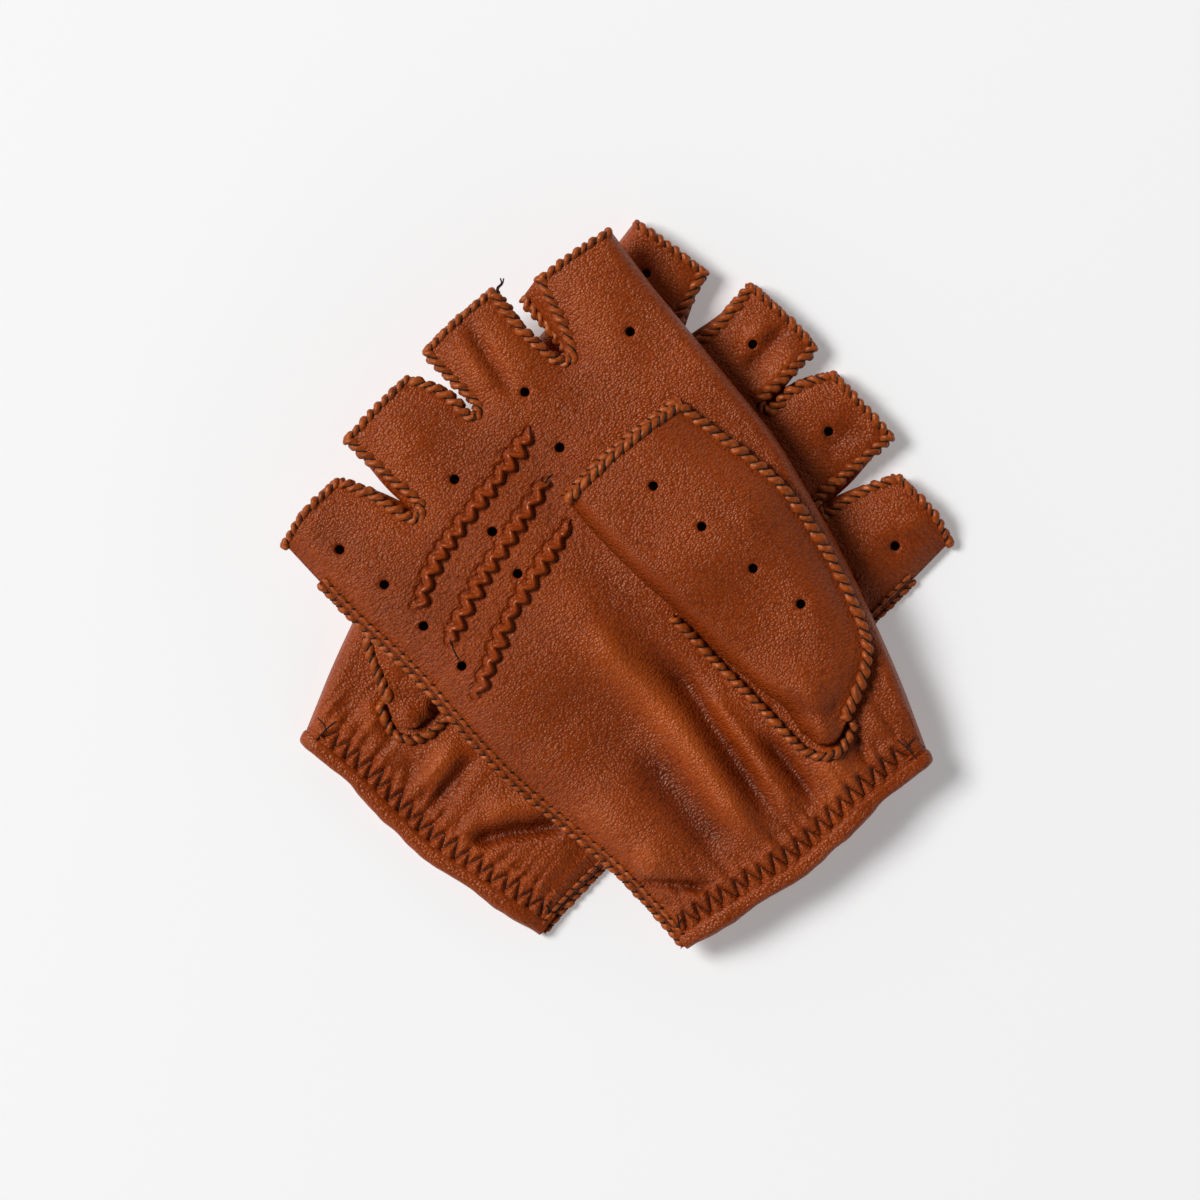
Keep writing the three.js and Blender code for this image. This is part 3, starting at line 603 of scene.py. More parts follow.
class Wire:
    """A value or a colour on its way through a material's nodes."""

    def __init__(self, finish, socket):
        self.finish = finish
        self.socket = socket

    def maths(self, operation, *values):
        """A Math node on wires or numbers."""
        sockets = {index: value for index, value in enumerate(values)}
        return self.finish.node("ShaderNodeMath", {"operation": operation}, sockets)

    def __add__(self, other):
        return self.maths("ADD", self, other)

    def __radd__(self, other):
        return self.maths("ADD", other, self)

    def __sub__(self, other):
        return self.maths("SUBTRACT", self, other)

    def __rsub__(self, other):
        return self.maths("SUBTRACT", other, self)

    def __mul__(self, other):
        return self.maths("MULTIPLY", self, other)

    def __rmul__(self, other):
        return self.maths("MULTIPLY", other, self)

    def clamped(self, low, high):
        """The wire taken from the range low to high onto 0 to 1, and held there."""
        return self.finish.node("ShaderNodeMapRange", {"clamp": True}, {0: self, 1: low, 2: high})


class Finish:
    """A material made of nodes, which are added one method call at a time."""

    def __init__(self, name):
        self.material = bpy.data.materials.new(name)
        self.material.use_nodes = True
        self.nodes = self.material.node_tree.nodes
        self.links = self.material.node_tree.links
        self.nodes.clear()

    def node(self, kind, settings=None, sockets=None, outlet=0):
        """Adds a node, makes its settings, and gives each named or numbered socket a value or a wire."""
        node = self.nodes.new(kind)
        for name, value in (settings or {}).items():
            setattr(node, name, value)
        for name, value in (sockets or {}).items():
            if isinstance(value, Wire):
                self.links.new(value.socket, node.inputs[name])
            else:
                node.inputs[name].default_value = value
        return Wire(self, node.outputs[outlet])

    def blend(self, factor, first, second):
        """A colour between two others."""
        settings = {"data_type": "RGBA"}
        return self.node("ShaderNodeMix", settings, {0: factor, 6: first, 7: second}, outlet=2)

    def surface(self, **sockets):
        """The closing Principled shader; a socket's spaces are written as underscores."""
        named = {name.replace("_", " "): value for name, value in sockets.items()}
        shader = self.node("ShaderNodeBsdfPrincipled", {}, named)
        out = self.nodes.new("ShaderNodeOutputMaterial")
        self.links.new(shader.socket, out.inputs["Surface"])
        return self.material


# %% [markdown]
# The leather's grain is a crowd of tiny pebbles, wider across the hand than along it, because the
# hide is stretched that way. A Voronoi pattern on the cut coordinates makes them, squeezed along v
# and bent a little by noise. The same relief that shapes the mesh sets the colour: valleys get
# painted shade, and ridges a lighter orange that is partly rubbed wear and partly painted highlight.

# %% Leather


def grain(finish, scale, squeeze):
    """Pebbles as Voronoi cells, and longer wrinkles as stretched noise, both on bent cut coordinates."""
    cut = finish.node("ShaderNodeUVMap", {"uv_map": CUT_MAP})
    bent = finish.node("ShaderNodeTexNoise", {}, {"Vector": cut, "Scale": 2.6, "Detail": 2.0}, outlet=1)
    bent = finish.node("ShaderNodeVectorMath", {"operation": "SCALE"}, {0: bent, "Scale": 0.16})
    moved = finish.node("ShaderNodeVectorMath", {"operation": "ADD"}, {0: cut, 1: bent})
    placed = finish.node("ShaderNodeMapping", {}, {"Vector": moved, "Scale": (1.0, squeeze, 1.0)})
    cells = finish.node("ShaderNodeTexVoronoi", {"feature": "F1"}, {"Vector": placed, "Scale": scale})
    drawn = finish.node("ShaderNodeMapping", {}, {"Vector": moved, "Scale": (1.0, 3.3, 1.0)})
    sockets = {"Vector": drawn, "Scale": 5.0, "Detail": 3.0, "Roughness": 0.65}
    wrinkles = finish.node("ShaderNodeTexNoise", {}, sockets)
    return cut, 1.0 - cells * 1.15, wrinkles


LUSTRE = {"Specular_IOR_Level": 0.5, "Specular_Tint": (1.0, 0.68, 0.48, 1)}


def make_leather(name, light, middle, dark, scale=14.5, squeeze=1.35, depth=0.00021, gloss=0.33, aged=1.0):
    """Pebbled dyed leather. light, middle and dark are linear colours, mixed by the grain and by the
    relief, which paints shade into valleys and highlight onto ridges; depth is the grain's in metres;
    aged is how much the dye varies."""
    finish = Finish(name)
    cut, pebble, wrinkles = grain(finish, scale, squeeze)
    patch = finish.node("ShaderNodeTexNoise", {}, {"Vector": cut, "Scale": 0.42, "Detail": 3.0})
    coarse = finish.node("ShaderNodeAttribute", {"attribute_name": "coarse"}, {}, outlet=2)
    height = pebble * (patch.clamped(0.3, 0.7) * 0.4 + 0.8) + wrinkles * (0.2 + coarse * 2.4)
    relief = finish.node("ShaderNodeAttribute", {"attribute_name": "relief"}, {}, outlet=2)
    fine = (pebble - 0.5) * 0.4 + (wrinkles - 0.5) * (0.1 + coarse * 0.5) + (patch - 0.5) * 0.35
    # Painted shade and highlight: the relief darkens valleys and lightens ridges; the grain, wrinkles and
    # patches vary the tone.
    painted_shade_and_grain = (relief * 0.12 + 0.49 + fine * aged).clamped(0.0, 1.0)
    low = finish.blend(painted_shade_and_grain.clamped(0.0, 0.5), dark, middle)
    colour = finish.blend(painted_shade_and_grain.clamped(0.5, 1.0), low, light)
    speck = finish.node("ShaderNodeTexNoise", {}, {"Vector": cut, "Scale": 14.0, "Detail": 2.0})
    rough = gloss + 0.12 * (1.0 - pebble) + (speck - 0.5) * 0.05
    bump = finish.node("ShaderNodeBump", {}, {"Strength": 1.0, "Distance": depth, "Height": height})
    return finish.surface(Base_Color=colour, Roughness=rough, Normal=bump, **LUSTRE)


# The dark tone serves as painted shade in valleys and the light tone as painted highlight on ridges,
# besides the grain's own variation.
LEATHER_LIGHT = (0.50, 0.092, 0.010, 1)
LEATHER_MIDDLE = (0.30, 0.042, 0.002, 1)
LEATHER_DARK = (0.088, 0.007, 0.0003, 1)
leather = make_leather("pebbled_leather", LEATHER_LIGHT, LEATHER_MIDDLE, LEATHER_DARK)
burnished = make_leather(
    "burnished_leather", LEATHER_LIGHT, LEATHER_MIDDLE, LEATHER_DARK, depth=0.00006, gloss=0.27, aged=0.5
)
# The beads' leather is the hide made lighter and oranger: a painted highlight for the plump stitched edges.
EDGE_LIGHT = (0.70, 0.21, 0.05, 1)
EDGE_MIDDLE = (0.36, 0.065, 0.007, 1)
EDGE_DARK = (0.085, 0.010, 0.0005, 1)
painted_highlight_edge_leather = make_leather(
    "painted_highlight_edge_leather", EDGE_LIGHT, EDGE_MIDDLE, EDGE_DARK, scale=7.0, squeeze=1.2, depth=0.00014, gloss=0.34
)


print("leathers:", [material.name for material in (leather, burnished, painted_highlight_edge_leather)])

# %% [markdown]
# Three plainer finishes. The flesh side of the hide is a matt nap, darker than its own colour as
# painted shade for the inside of the glove. The thread is waxed linen, nearly black, whose twist is
# slanted bands round it. The elastic is woven, with ribs along it.

# %% Flesh side, thread and elastic


def make_fibre(name, pattern, settings, sockets, span, tones, relief, **shine):
    """One pattern on the cut coordinates, whose span mixes two tones and which stands up as relief."""
    finish = Finish(name)
    cut = finish.node("ShaderNodeUVMap", {"uv_map": CUT_MAP})
    drawn = finish.node(pattern, settings, {"Vector": cut, **sockets})
    colour = finish.blend(drawn.clamped(*span), *tones)
    strength, depth = relief
    bump = finish.node("ShaderNodeBump", {}, {"Strength": strength, "Distance": depth, "Height": drawn})
    return finish.surface(Base_Color=colour, Normal=bump, **shine)


NOISE = "ShaderNodeTexNoise"
BANDS = "ShaderNodeTexWave"
# The nap's tones are darkened well below the flesh side's own colour: painted shade for the glove's
# insides.
NAP_PAINTED_SHADE_TONES = ((0.045, 0.012, 0.005, 1), (0.10, 0.028, 0.011, 1))
THREAD_TONES = ((0.012, 0.005, 0.003, 1), (0.050, 0.021, 0.011, 1))
RIB_TONES = ((0.02, 0.018, 0.017, 1), (0.07, 0.062, 0.056, 1))
nap = {"Scale": 18.0, "Detail": 4.0}
painted_shade_suede = make_fibre("flesh_side_painted_shade", NOISE, {}, nap, (0.3, 0.7), NAP_PAINTED_SHADE_TONES, (0.8, 0.0002), Roughness=0.92)
twist = ({"bands_direction": "DIAGONAL"}, {"Scale": 9.0}, (0.0, 1.0))
waxed = {"Roughness": 0.55, "Specular_IOR_Level": 0.25}
thread = make_fibre("waxed_thread", BANDS, *twist, THREAD_TONES, (0.6, 0.0001), **waxed)
ribs = ({"bands_direction": "Y"}, {"Scale": 5.0}, (0.0, 1.0))
elastic_web = make_fibre("wrist_elastic", BANDS, *ribs, RIB_TONES, (0.7, 0.0002), Roughness=0.8)
print("fibres:", [material.name for material in (painted_shade_suede, thread, elastic_web)])

# %% [markdown]
# The trank is the big skin of a glove: the palm and the back in one piece, folded at the index
# side. Palm and back are two cut skins that share their fold points, so one mesh runs round the
# half round, and a Solidify modifier gives it the thickness of leather.

# %% The trank of each glove
FINGERS = [INDEX_TIP, INDEX_SLOT, MIDDLE_TIP, MIDDLE_SLOT, RING_TIP, RING_SLOT, LITTLE_TIP]
STRETCHES = [CUFF, FOLD, *FINGERS, SIDE]
DRAWN_IN = [0, 0, *[1.1] * len(FINGERS), 1.3]
PALM_STEP = 0.95
BACK_STEP = 1.8
FINE_STEP = 0.42
trank_outline = leather_outline(STRETCHES, DRAWN_IN)
CUFF_BAND = np.stack([CUFF[:, 0], CUFF[:, 1] + 5.4], 1)[::6]
palm_fine = [(CUFF_BAND, 4.6, FINE_STEP)] + [(tuck[::4], 2.6, FINE_STEP) for tuck in TUCKS]
SHARED_COUNT = len(CUFF) + len(FOLD) - 3


def back_skin(side):
    """The back's points and triangles, and which of its first points lie on the fold."""
    index = [BACK_TIPS[side]["index"], BACK_SLOTS[side]["index_middle"]]
    outline = leather_outline([CUFF, FOLD, *index, *STRETCHES[4:]], DRAWN_IN)
    flat, faces = cut_skin(outline, NO_VENTS, [], BACK_STEP, FOLD, FOLD_RADIUS)
    on_fold = (from_line(FOLD, outline)[0] < 1e-6) & (np.arange(len(outline)) < SHARED_COUNT)
    return flat, faces, on_fold


def unrolled(flat, fold, radius, back=False):
    """Cut coordinates with the half round laid flat: u grows by the arc less the distance it spans.
    The back's are mirrored about the fold, so that the hide runs on round it."""
    gap = from_line(fold, flat)[0]
    angle = np.arccos(1 - np.clip(gap / radius, 0, 1))
    extra = radius * (np.pi / 2 - angle) - np.maximum(radius - gap, 0)
    outwards = np.sign(np.mean(fold[:, 0]) - flat[:, 0].mean())
    u = flat[:, 0] + outwards * extra
    if back:
        u = 2 * (flat[:, 0] + outwards * (gap + radius * (np.pi / 2 - 1))) - u
    return np.column_stack([u, flat[:, 1]])


def two_skins(front_flat, front_faces, back_flat, back_faces, top, bottom, shared):
    """One mesh from a front and a back skin: the back's points follow the front's, its faces are turned
    down, and its points on the fold are the front's own."""
    points = np.vstack([np.column_stack([front_flat, top]), np.column_stack([back_flat, bottom])])
    number = np.arange(len(back_flat)) + len(front_flat)
    number[: len(shared)] = np.where(shared, np.arange(len(shared)), number[: len(shared)])
    return points, [front_faces, number[back_faces][:, ::-1]]


def drop_loose(points, faces, *others):
    """Leaves out points that no face uses, here the back's doubles along the fold."""
    used = np.unique(np.concatenate([block.ravel() for block in faces]))
    renumber = np.zeros(len(points), int)
    renumber[used] = np.arange(len(used))
    return points[used], [renumber[block] for block in faces], *[other[used] for other in others]


def make_trank(side):
    """The palm and back of one glove, thickened inwards."""
    open_vents = OPEN_VENTS[side]
    palm_flat, palm_faces = cut_skin(trank_outline, open_vents, palm_fine, PALM_STEP, FOLD, FOLD_RADIUS)
    top, _, relief = hand_shape(side, palm_flat)
    lips = from_vents(palm_flat, open_vents)
    top = top - 0.35 * bell(lips - VENT_RADIUS, 0.45)
    back_flat, back_faces, on_fold = back_skin(side)
    _, bottom, _ = hand_shape(side, back_flat)
    points, faces = two_skins(palm_flat, palm_faces, back_flat, back_faces, top, bottom, on_fold)
    cut = np.vstack([unrolled(palm_flat, FOLD, FOLD_RADIUS), unrolled(back_flat, FOLD, FOLD_RADIUS, True)])
    relief = np.concatenate([relief, np.zeros(len(back_flat))])
    flat = np.vstack([palm_flat, back_flat])
    coarse = np.exp(-from_line(SIDE, flat)[0] / 9) + 0.8 * bell(from_line(TUCKS[1], flat)[0], 17)
    coarse = np.clip(0.12 + coarse + 0.5 * np.exp(-flat[:, 1] / 16), 0, 1)
    points, faces, cut, relief, coarse = drop_loose(points, faces, cut, relief, coarse)
    return add_piece(f"{side}_trank", side, points, faces, cut, relief, (leather, painted_shade_suede), coarse)


tranks = {side: thicken(make_trank(side), "trank", 1) for side in SIDES}
print("tranks:", [len(piece.data.polygons) for piece in tranks.values()], "triangles before thickness")

# %% [markdown]
# Threads and edge beads are sections carried along a path. A path needs a frame at each point: the
# way it runs, an up that is given, and the side that is square to both.

# %% Sections along a path


def framed(path, up):
    """Unit vectors at each point of a path: along it, to its side, and up square to both."""
    along = unit(np.gradient(path, axis=0))
    side = unit(np.cross(along, np.broadcast_to(up, path.shape)))
    return along, side, np.cross(side, along)


def at_length(reached, values, where):
    """Rows of values read off at given lengths along a path, each column interpolated."""
    return np.stack([np.interp(where, reached, column) for column in values.T], -1)


def whip_stitch(path, up, wide=1.25, tall=0.95, pitch=2.9, lean=1.3, pinch=0.42, sweep=(-70, 222), seed=1):
    """A whip-stitched edge: the leather as a bead that the thread pinches once each pitch, and the
    thread's loops. The bead's section is an oval; its size is one less pinch times a narrow bell that
    repeats each pitch. The pinch lies aslant: it slides along by lean from one side to the other.
    sweep is how far round the bead a loop goes, in degrees from its outer side."""
    rng = np.random.default_rng(seed)
    path = resampled(path, pitch / 11)
    reached = arc_length(path)
    count = max(1, int(reached[-1] / pitch))
    _, side, upward = framed(path, up)
    theta = turns(14)
    slid = reached[:, None] + lean / 2 * np.cos(theta)
    stitch = slid / reached[-1] * count
    shift = rng.uniform(-0.16, 0.16, count + 1)
    wander = np.interp(stitch, np.arange(count + 1), shift)
    near = (stitch + wander + 0.5) % 1 - 0.5
    plump = np.interp(np.floor(stitch + wander), np.arange(count + 1), rng.uniform(0.8, 1.12, count + 1))
    size = plump * (1 - pinch * bell(near * pitch, 0.5))
    ends = np.minimum(reached, reached[-1] - reached)
    size = size * (0.6 + 0.4 * np.sqrt(np.clip(ends / 1.0, 0, 1)))[:, None]
    bead = (
        path[:, None]
        + (side[:, None] * (wide * size * np.cos(theta))[..., None])
        + (upward[:, None] * (tall * size * np.sin(theta))[..., None])
    )
    angle = np.radians(np.linspace(*sweep, 11))
    middle = (np.arange(1, count) - shift[1:-1]) / count * reached[-1]
    where = np.clip(middle[:, None] - lean / 2 * np.cos(angle), 0, reached[-1])
    hug = 1 - pinch * 0.93
    sideways = at_length(reached, side, where) * ((wide * hug + 0.07) * np.cos(angle))[:, None]
    height = at_length(reached, upward, where) * ((tall * hug + 0.07) * np.sin(angle))[:, None]
    loops = at_length(reached, path, where) + sideways + height
    loops = loops + at_length(reached, side, where) * (-0.35 * rise(-np.cos(angle), 0.6, 1))[:, None]
    return bead, loops


def strand(loops, radius, sides=5):
    """Round tubes along many short paths of equal count: a ring of points square to each path."""
    along = unit(np.gradient(loops, axis=1))
    out = loops - loops.mean(1, keepdims=True)
    out = out - (out * along).sum(2, keepdims=True) * along
    out = out / np.maximum(np.linalg.norm(out, axis=2, keepdims=True), 1e-6)
    square = np.cross(along, out)
    turn = turns(sides)
    ring = out[:, :, None] * np.cos(turn)[:, None] + square[:, :, None] * np.sin(turn)[:, None]
    return loops[:, :, None] + radius * ring


def grid_cut(shape, spacing=(0.3, 0.3)):
    """Cut coordinates for a grid of tubes, rings and sides: the ring's and the side's number spaced out."""
    tube, ring, side = np.indices(shape)
    return np.stack([ring.ravel() * spacing[0] + tube.ravel() * 7.3, side.ravel() * spacing[1]], 1)


def capped(rings, sides, tubes):
    """Flat ends for tubes: the first ring, and the last ring turned over."""
    first = np.arange(tubes * rings * sides).reshape(tubes, rings, sides)
    return [first[:, 0], first[:, -1, ::-1]]


def add_beads(name, side, beads, finish):
    """Many beads as one object. Each bead is its own run of rings, closed by a flat end."""
    points = np.vstack([bead.reshape(-1, 3) for bead in beads])
    starts = np.cumsum([0] + [bead.shape[0] * bead.shape[1] for bead in beads])
    faces = []
    for start, bead in zip(starts, beads):
        rings, sides = bead.shape[:2]
        faces.append(net(rings, sides) + start)
        faces.extend(block + start for block in capped(rings, sides, 1))
    cut = np.vstack([grid_cut((1, *bead.shape[:2]), (0.27, 0.45)) for bead in beads])
    return add_piece(name, side, points, faces, cut, None, (finish,))


def add_strands(name, side, runs, radius, finish):
    """Many tubes as one object. Runs of loops may differ in how many points a loop has."""
    points = []
    faces = []
    cuts = []
    start = 0
    for loops in runs:
        tube = strand(loops, radius)
        faces.append(net(tube.shape[1], tube.shape[2], tube.shape[0]) + start)
        faces.extend(block + start for block in capped(tube.shape[1], tube.shape[2], tube.shape[0]))
        points.append(tube.reshape(-1, 3))
        cuts.append(grid_cut(tube.shape[:3], (0.35, 0.3)))
        start += tube.size // 3
    return add_piece(name, side, np.vstack(points), faces, np.vstack(cuts), None, (finish,))


def on_top(side, flat, lift):
    """A path on the palm's grain side, lifted by lift."""
    return np.column_stack([flat, hand_shape(side, flat)[0] + lift])


def on_back(side, flat, lift):
    """A path on the back's grain side, which faces the table, lifted by lift."""
    return np.column_stack([flat, hand_shape(side, flat)[1] + lift])

# %% [markdown]
# Each fingertip and each slot is bound twice, on the palm's edge and on the back's. The bead's
# middle runs just inside the cut, so that its outer side reaches the pattern's outline. Slots take
# fat slanted stitches and the tips finer ones.

# %% Bound edges of the fingers
UP = (0, 0, 1)
DOWN = (0, 0, -1)
TIP_STITCH = {"wide": 1.15, "tall": 1.05, "pitch": 2.4, "lean": 1.2, "pinch": 0.56, "sweep": (60, 226)}
SLOT_STITCH = {"wide": 1.65, "tall": 1.3, "pitch": 2.6, "lean": 2.0, "pinch": 0.66, "sweep": (-40, 214)}
WISP = np.array([[22.9, 148.3, 0.2], [23.8, 149.6, 0.9], [25.1, 149.8, 1.2], [26.2, 150.7, 1.0]])
WISP_FORK = np.array([[-0.4, 0, 0], [-0.2, 0.3, 0], [0, 0.3, 0], [-0.6, 0.5, 0]])


def edge_runs(side, paths, back_paths, inset, seed, **stitch):
    """Whip stitches along the paths on the palm and along their fellows on the back."""
    runs = []
    for number, (path, back_path) in enumerate(zip(paths, back_paths)):
        high = on_top(side, beside(path, inset), -0.15)
        runs.append(whip_stitch(high, UP, seed=seed + number, **stitch))
        low = on_back(side, beside(back_path, inset)[::-1], 1.15)
        runs.append(whip_stitch(low, DOWN, seed=seed + 20 + number, **{**stitch, "tall": 0.85}))
    return runs


def add_edges(name, side, runs, extra=(), radius=0.24):
    """The beads of some runs as one leather piece, and their loops and any extra threads as another."""
    beads = add_beads(name, side, [run[0] for run in runs], painted_highlight_edge_leather)
    loops = add_strands(f"{name}_thread", side, [run[1] for run in runs] + list(extra), radius, thread)
    return beads, loops


def loose_ends(side):
    """Two ends of thread that stand off the middle fingertip's corner."""
    corner = hand_shape(side, np.array([[22.3, 150.0]]))[0][0]
    return [curve(line + [0, 0, corner], 0.4)[None] for line in (WISP, WISP + WISP_FORK)]


finger_edges = {}
for index, side in enumerate(SIDES):
    tips = edge_runs(side, TIPS.values(), BACK_TIPS[side].values(), 1.05, 100 + 50 * index, **TIP_STITCH)
    slots = edge_runs(side, SLOTS.values(), BACK_SLOTS[side].values(), 1.2, 200 + 50 * index, **SLOT_STITCH)
    wisps = loose_ends(side) if side == "right" else []
    tip_pieces = add_edges(f"{side}_fingertip_edges", side, tips, wisps, 0.19)
    finger_edges[side] = [*tip_pieces, *add_edges(f"{side}_slot_edges", side, slots)]
print("finger edges:", [piece.name for piece in finger_edges["right"]])

# %% [markdown]
# Between two fingers, a gusset joins the palm's slot edge to the back's. It is a narrow strip that
# follows the slot and bows out of it in the middle, seen only as a wall down in the slot.

# %% Gussets


def make_gusset(side, name, bow):
    """A strip down the slot's wall: rows from the palm's edge to the back's, pushed out by a sine."""
    flat = even(beside(SLOTS[name], 1.3), 50)
    under = even(beside(BACK_SLOTS[side][name], 1.3), 50)
    top = hand_shape(side, flat)[0] - 0.7
    bottom = hand_shape(side, under)[1] + 0.7
    depth = np.linspace(0, 1, 8)
    across = beside(flat, 1) - flat
    pushed = flat[:, None] + (under - flat)[:, None] * depth[:, None]
    hump = np.sin(np.pi * np.linspace(0, 1, len(flat)))[:, None] * np.sin(np.pi * depth)
    pushed = pushed + across[:, None] * (bow * hump)[..., None]
    height = top[:, None] + (bottom - top)[:, None] * depth
    points = np.dstack([pushed, height]).reshape(-1, 3)
    length = np.arange(len(flat))[:, None] * 0.8 + 0 * depth
    cut = np.stack([length.ravel(), (depth[None] * 6 + 0 * length).ravel()], 1)
    faces = [net(len(flat), 8, wrapped=False)]
    piece = add_piece(f"{side}_{name}_gusset", side, points, faces, cut, None, (leather,))
    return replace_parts(thicken(piece, "gusset"), f"{side}_{name}_gusset")


BOWS = {
    "right": {"index_middle": -1.4, "middle_ring": -1.0, "ring_little": -3.2},
    "left": {"index_middle": -3.2, "middle_ring": -2.6, "ring_little": -3.2},
}
gussets = {side: [make_gusset(side, name, bow) for name, bow in BOWS[side].items()] for side in SIDES}
print("gussets:", len(gussets["right"]), "a glove")

# %% [markdown]
# Each tuck is a cord of leather, a pinch drawn so tight that it puffs up between its hidden
# stitches. It is a tube on the waved line, a little slimmer wherever a stitch holds it.

# %% Tuck cords


def make_tuck(side, number):
    """An oval tube along one waved line. Its size is one less a small dip twice each wave."""
    line = TUCKS[number]
    middle = on_top(side, line, 0.3)
    _, across, upward = framed(middle, UP)
    theta = turns(12)
    waves = np.arange(len(line)) / WAVE_POINTS
    held = np.cos(2 * np.pi * (waves - 0.25)) ** 8
    ends = np.minimum(waves, waves[-1] - waves)
    size = (1 - 0.2 * held + 0.05 * swell(line, 8, 60 + number)) * np.sqrt(np.clip(ends / 0.55, 0.03, 1))
    wide = (0.72 * size)[:, None] * np.cos(theta)
    tall = (1.0 * size)[:, None] * np.sin(theta)
    rings = middle[:, None] + across[:, None] * wide[..., None] + upward[:, None] * tall[..., None]
    piece = add_beads(f"{side}_palm_tuck_{number + 1}", side, [rings], burnished)
    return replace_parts(piece, f"{side}_palm_tuck_{number + 1}")


tuck_cords = {side: [make_tuck(side, number) for number in range(3)] for side in SIDES}
TUCK_TAILS = [
    [[-35.4, 91.2], [-36.2, 88.6], [-36.6, 86.2]],
    [[4.6, 106.6], [6.2, 107.4], [7.4, 107.2]],
    [[4.4, 107.8], [5.4, 106.2], [5.8, 105.4]],
    [[2.6, 95.4], [4.4, 96.4]],
    [[8.6, 117.8], [10.0, 119.4]],
]
tuck_threads = {}
for side in SIDES:
    tails = [on_top(side, curve(tail, 0.4), 0.1)[None] for tail in TUCK_TAILS]
    tuck_threads[side] = add_strands(f"{side}_tuck_thread", side, tails, 0.17, thread)
print("tuck cords:", [len(piece.data.polygons) for piece in tuck_cords["right"]], "faces")

# %% [markdown]
# The side seam closes the glove below the little finger. Palm and back stand up together there, so
# two rows of beads show side by side with the thread between them. Nothing is stitched for the
# last bit below the little fingertip.

# %% Side seam
SEAM_END = 121.5
OUTWARDS = (-0.5, 0, 0.86)
INNER_ROW = {"wide": 0.62, "tall": 0.6, "pitch": 2.5, "lean": 0.7, "pinch": 0.45, "sweep": (60, 180)}
OUTER_ROW = {"wide": 1.0, "tall": 1.0, "pitch": 2.5, "lean": 0.9, "pinch": 0.5, "sweep": (20, 170)}


def make_side_seam(side):
    """Two beads, the palm's further in and higher and the back's at the edge and lower."""
    below = SIDE[SIDE[:, 1] < SEAM_END]
    inner = on_top(side, beside(below, 2.5), 0.05)
    outer = np.column_stack([beside(below, 0.8), ground(side, below[:, 1]) + 1.0])
    seed = 300 if side == "right" else 350
    runs = [
        whip_stitch(inner, UP, seed=seed, **INNER_ROW),
        whip_stitch(outer, OUTWARDS, seed=seed + 1, **OUTER_ROW),
    ]
    groove = np.column_stack([beside(below, 1.65), ground(side, below[:, 1]) + 2.1])
    beads = add_beads(f"{side}_side_seam", side, [run[0] for run in runs], painted_highlight_edge_leather)
    strands = [run[1] for run in runs] + [groove[None]]
    return beads, add_strands(f"{side}_side_seam_thread", side, strands, 0.22, thread)


side_seams = {side: make_side_seam(side) for side in SIDES}
print("side seams:", [len(pieces[0].data.polygons) for pieces in side_seams.values()], "faces")

# %% [markdown]
# The cuff's edge is turned in and rolls a little where the elastic gathers it. The roll starts
# from the trank's own cut edge: half a circle over, then flat up inside the glove.

# %% Cuff hem
HEM_RADIUS = 1.45
HEM_ROWS = (3.3, 2.9, 2.3, 1.6, 0.9, 0.3)


def cuff_rim(side, up, count=240):
    """The loop round the glove at a height above the cuff: palm, fold and back, evenly spaced.
    The points crowd by a cosine towards the fold, to follow its half round."""
    share = np.sin(np.linspace(0, np.pi / 2, 120))
    first = np.interp(up, SIDE[::-1, 1], SIDE[::-1, 0]) + 1.3
    last = np.interp(up, FOLD[:, 1], FOLD[:, 0])
    u = first + share * (last - first)
    flat = np.column_stack([u, cuff_edge(u) + up])
    flat[-1] = last, up
    top, bottom, _ = hand_shape(side, flat)
    loop = np.vstack([np.column_stack([flat, top]), np.column_stack([flat, bottom])[-2::-1]])
    return even(loop, count)


def make_hem(side):
    """Rows down the last few millimetres, half a circle round the edge, then back inside."""
    rims = np.stack([cuff_rim(side, up) for up in HEM_ROWS])
    even_out = np.hanning(13) / np.hanning(13).sum()
    padded = np.pad(rims[..., 2], ((0, 0), (6, 6)), "edge")
    rims[..., 2] = np.stack([np.convolve(row, even_out, "valid") for row in padded])
    out = np.broadcast_to([0.0, -1.0, 0.0], rims[-1].shape)
    skin = unit(np.cross(unit(np.gradient(rims[-1], axis=0)), -out))
    rims[..., 2] = np.maximum(rims[..., 2], ground(side, rims[..., 1]) + 0.75)
    lift = np.array([-0.7, -0.1, 0.38, 0.62, 0.72, 0.74])
    rows = rims + skin * lift[:, None, None]
    run = rims[-1] * [1, 0, 1]
    radius = (HEM_RADIUS + 0.17 * swell(run, 15, 41) + 0.07 * swell(run, 4.4, 42))[:, None]
    turn = np.linspace(0, np.pi, 11)[1:, None, None]
    start = rows[-1] - out * 0.2
    rolled = start + out * radius * np.sin(turn) - skin * radius * (1 - np.cos(turn))
    inwards = rolled[-1] - out * np.linspace(0, 5, 6)[1:, None, None]
    points = np.concatenate([rows, rolled, inwards]).transpose(1, 0, 2)
    count, columns = points.shape[:2]
    length, round_it = np.indices((count, columns)) * np.array([0.6, 0.5])[:, None, None]
    cut = np.stack([length.ravel(), round_it.ravel()], 1)
    points = points.reshape(-1, 3)
    faces = [net(count, columns, wrapped=False)]
    piece = add_piece(f"{side}_cuff_hem", side, points, faces, cut, None, (leather, painted_shade_suede), 0.1)
    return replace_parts(thicken(piece, "hem", 1), f"{side}_cuff_hem")


hems = {side: make_hem(side) for side in SIDES}
print("hems:", [len(hem.data.polygons) for hem in hems.values()], "faces")

# %% [markdown]
# A woven elastic tape lies inside the palm side of the wrist. It is sewn down stretched, and when it
# is let go it gathers the cuff: the waves above the hem are its work.

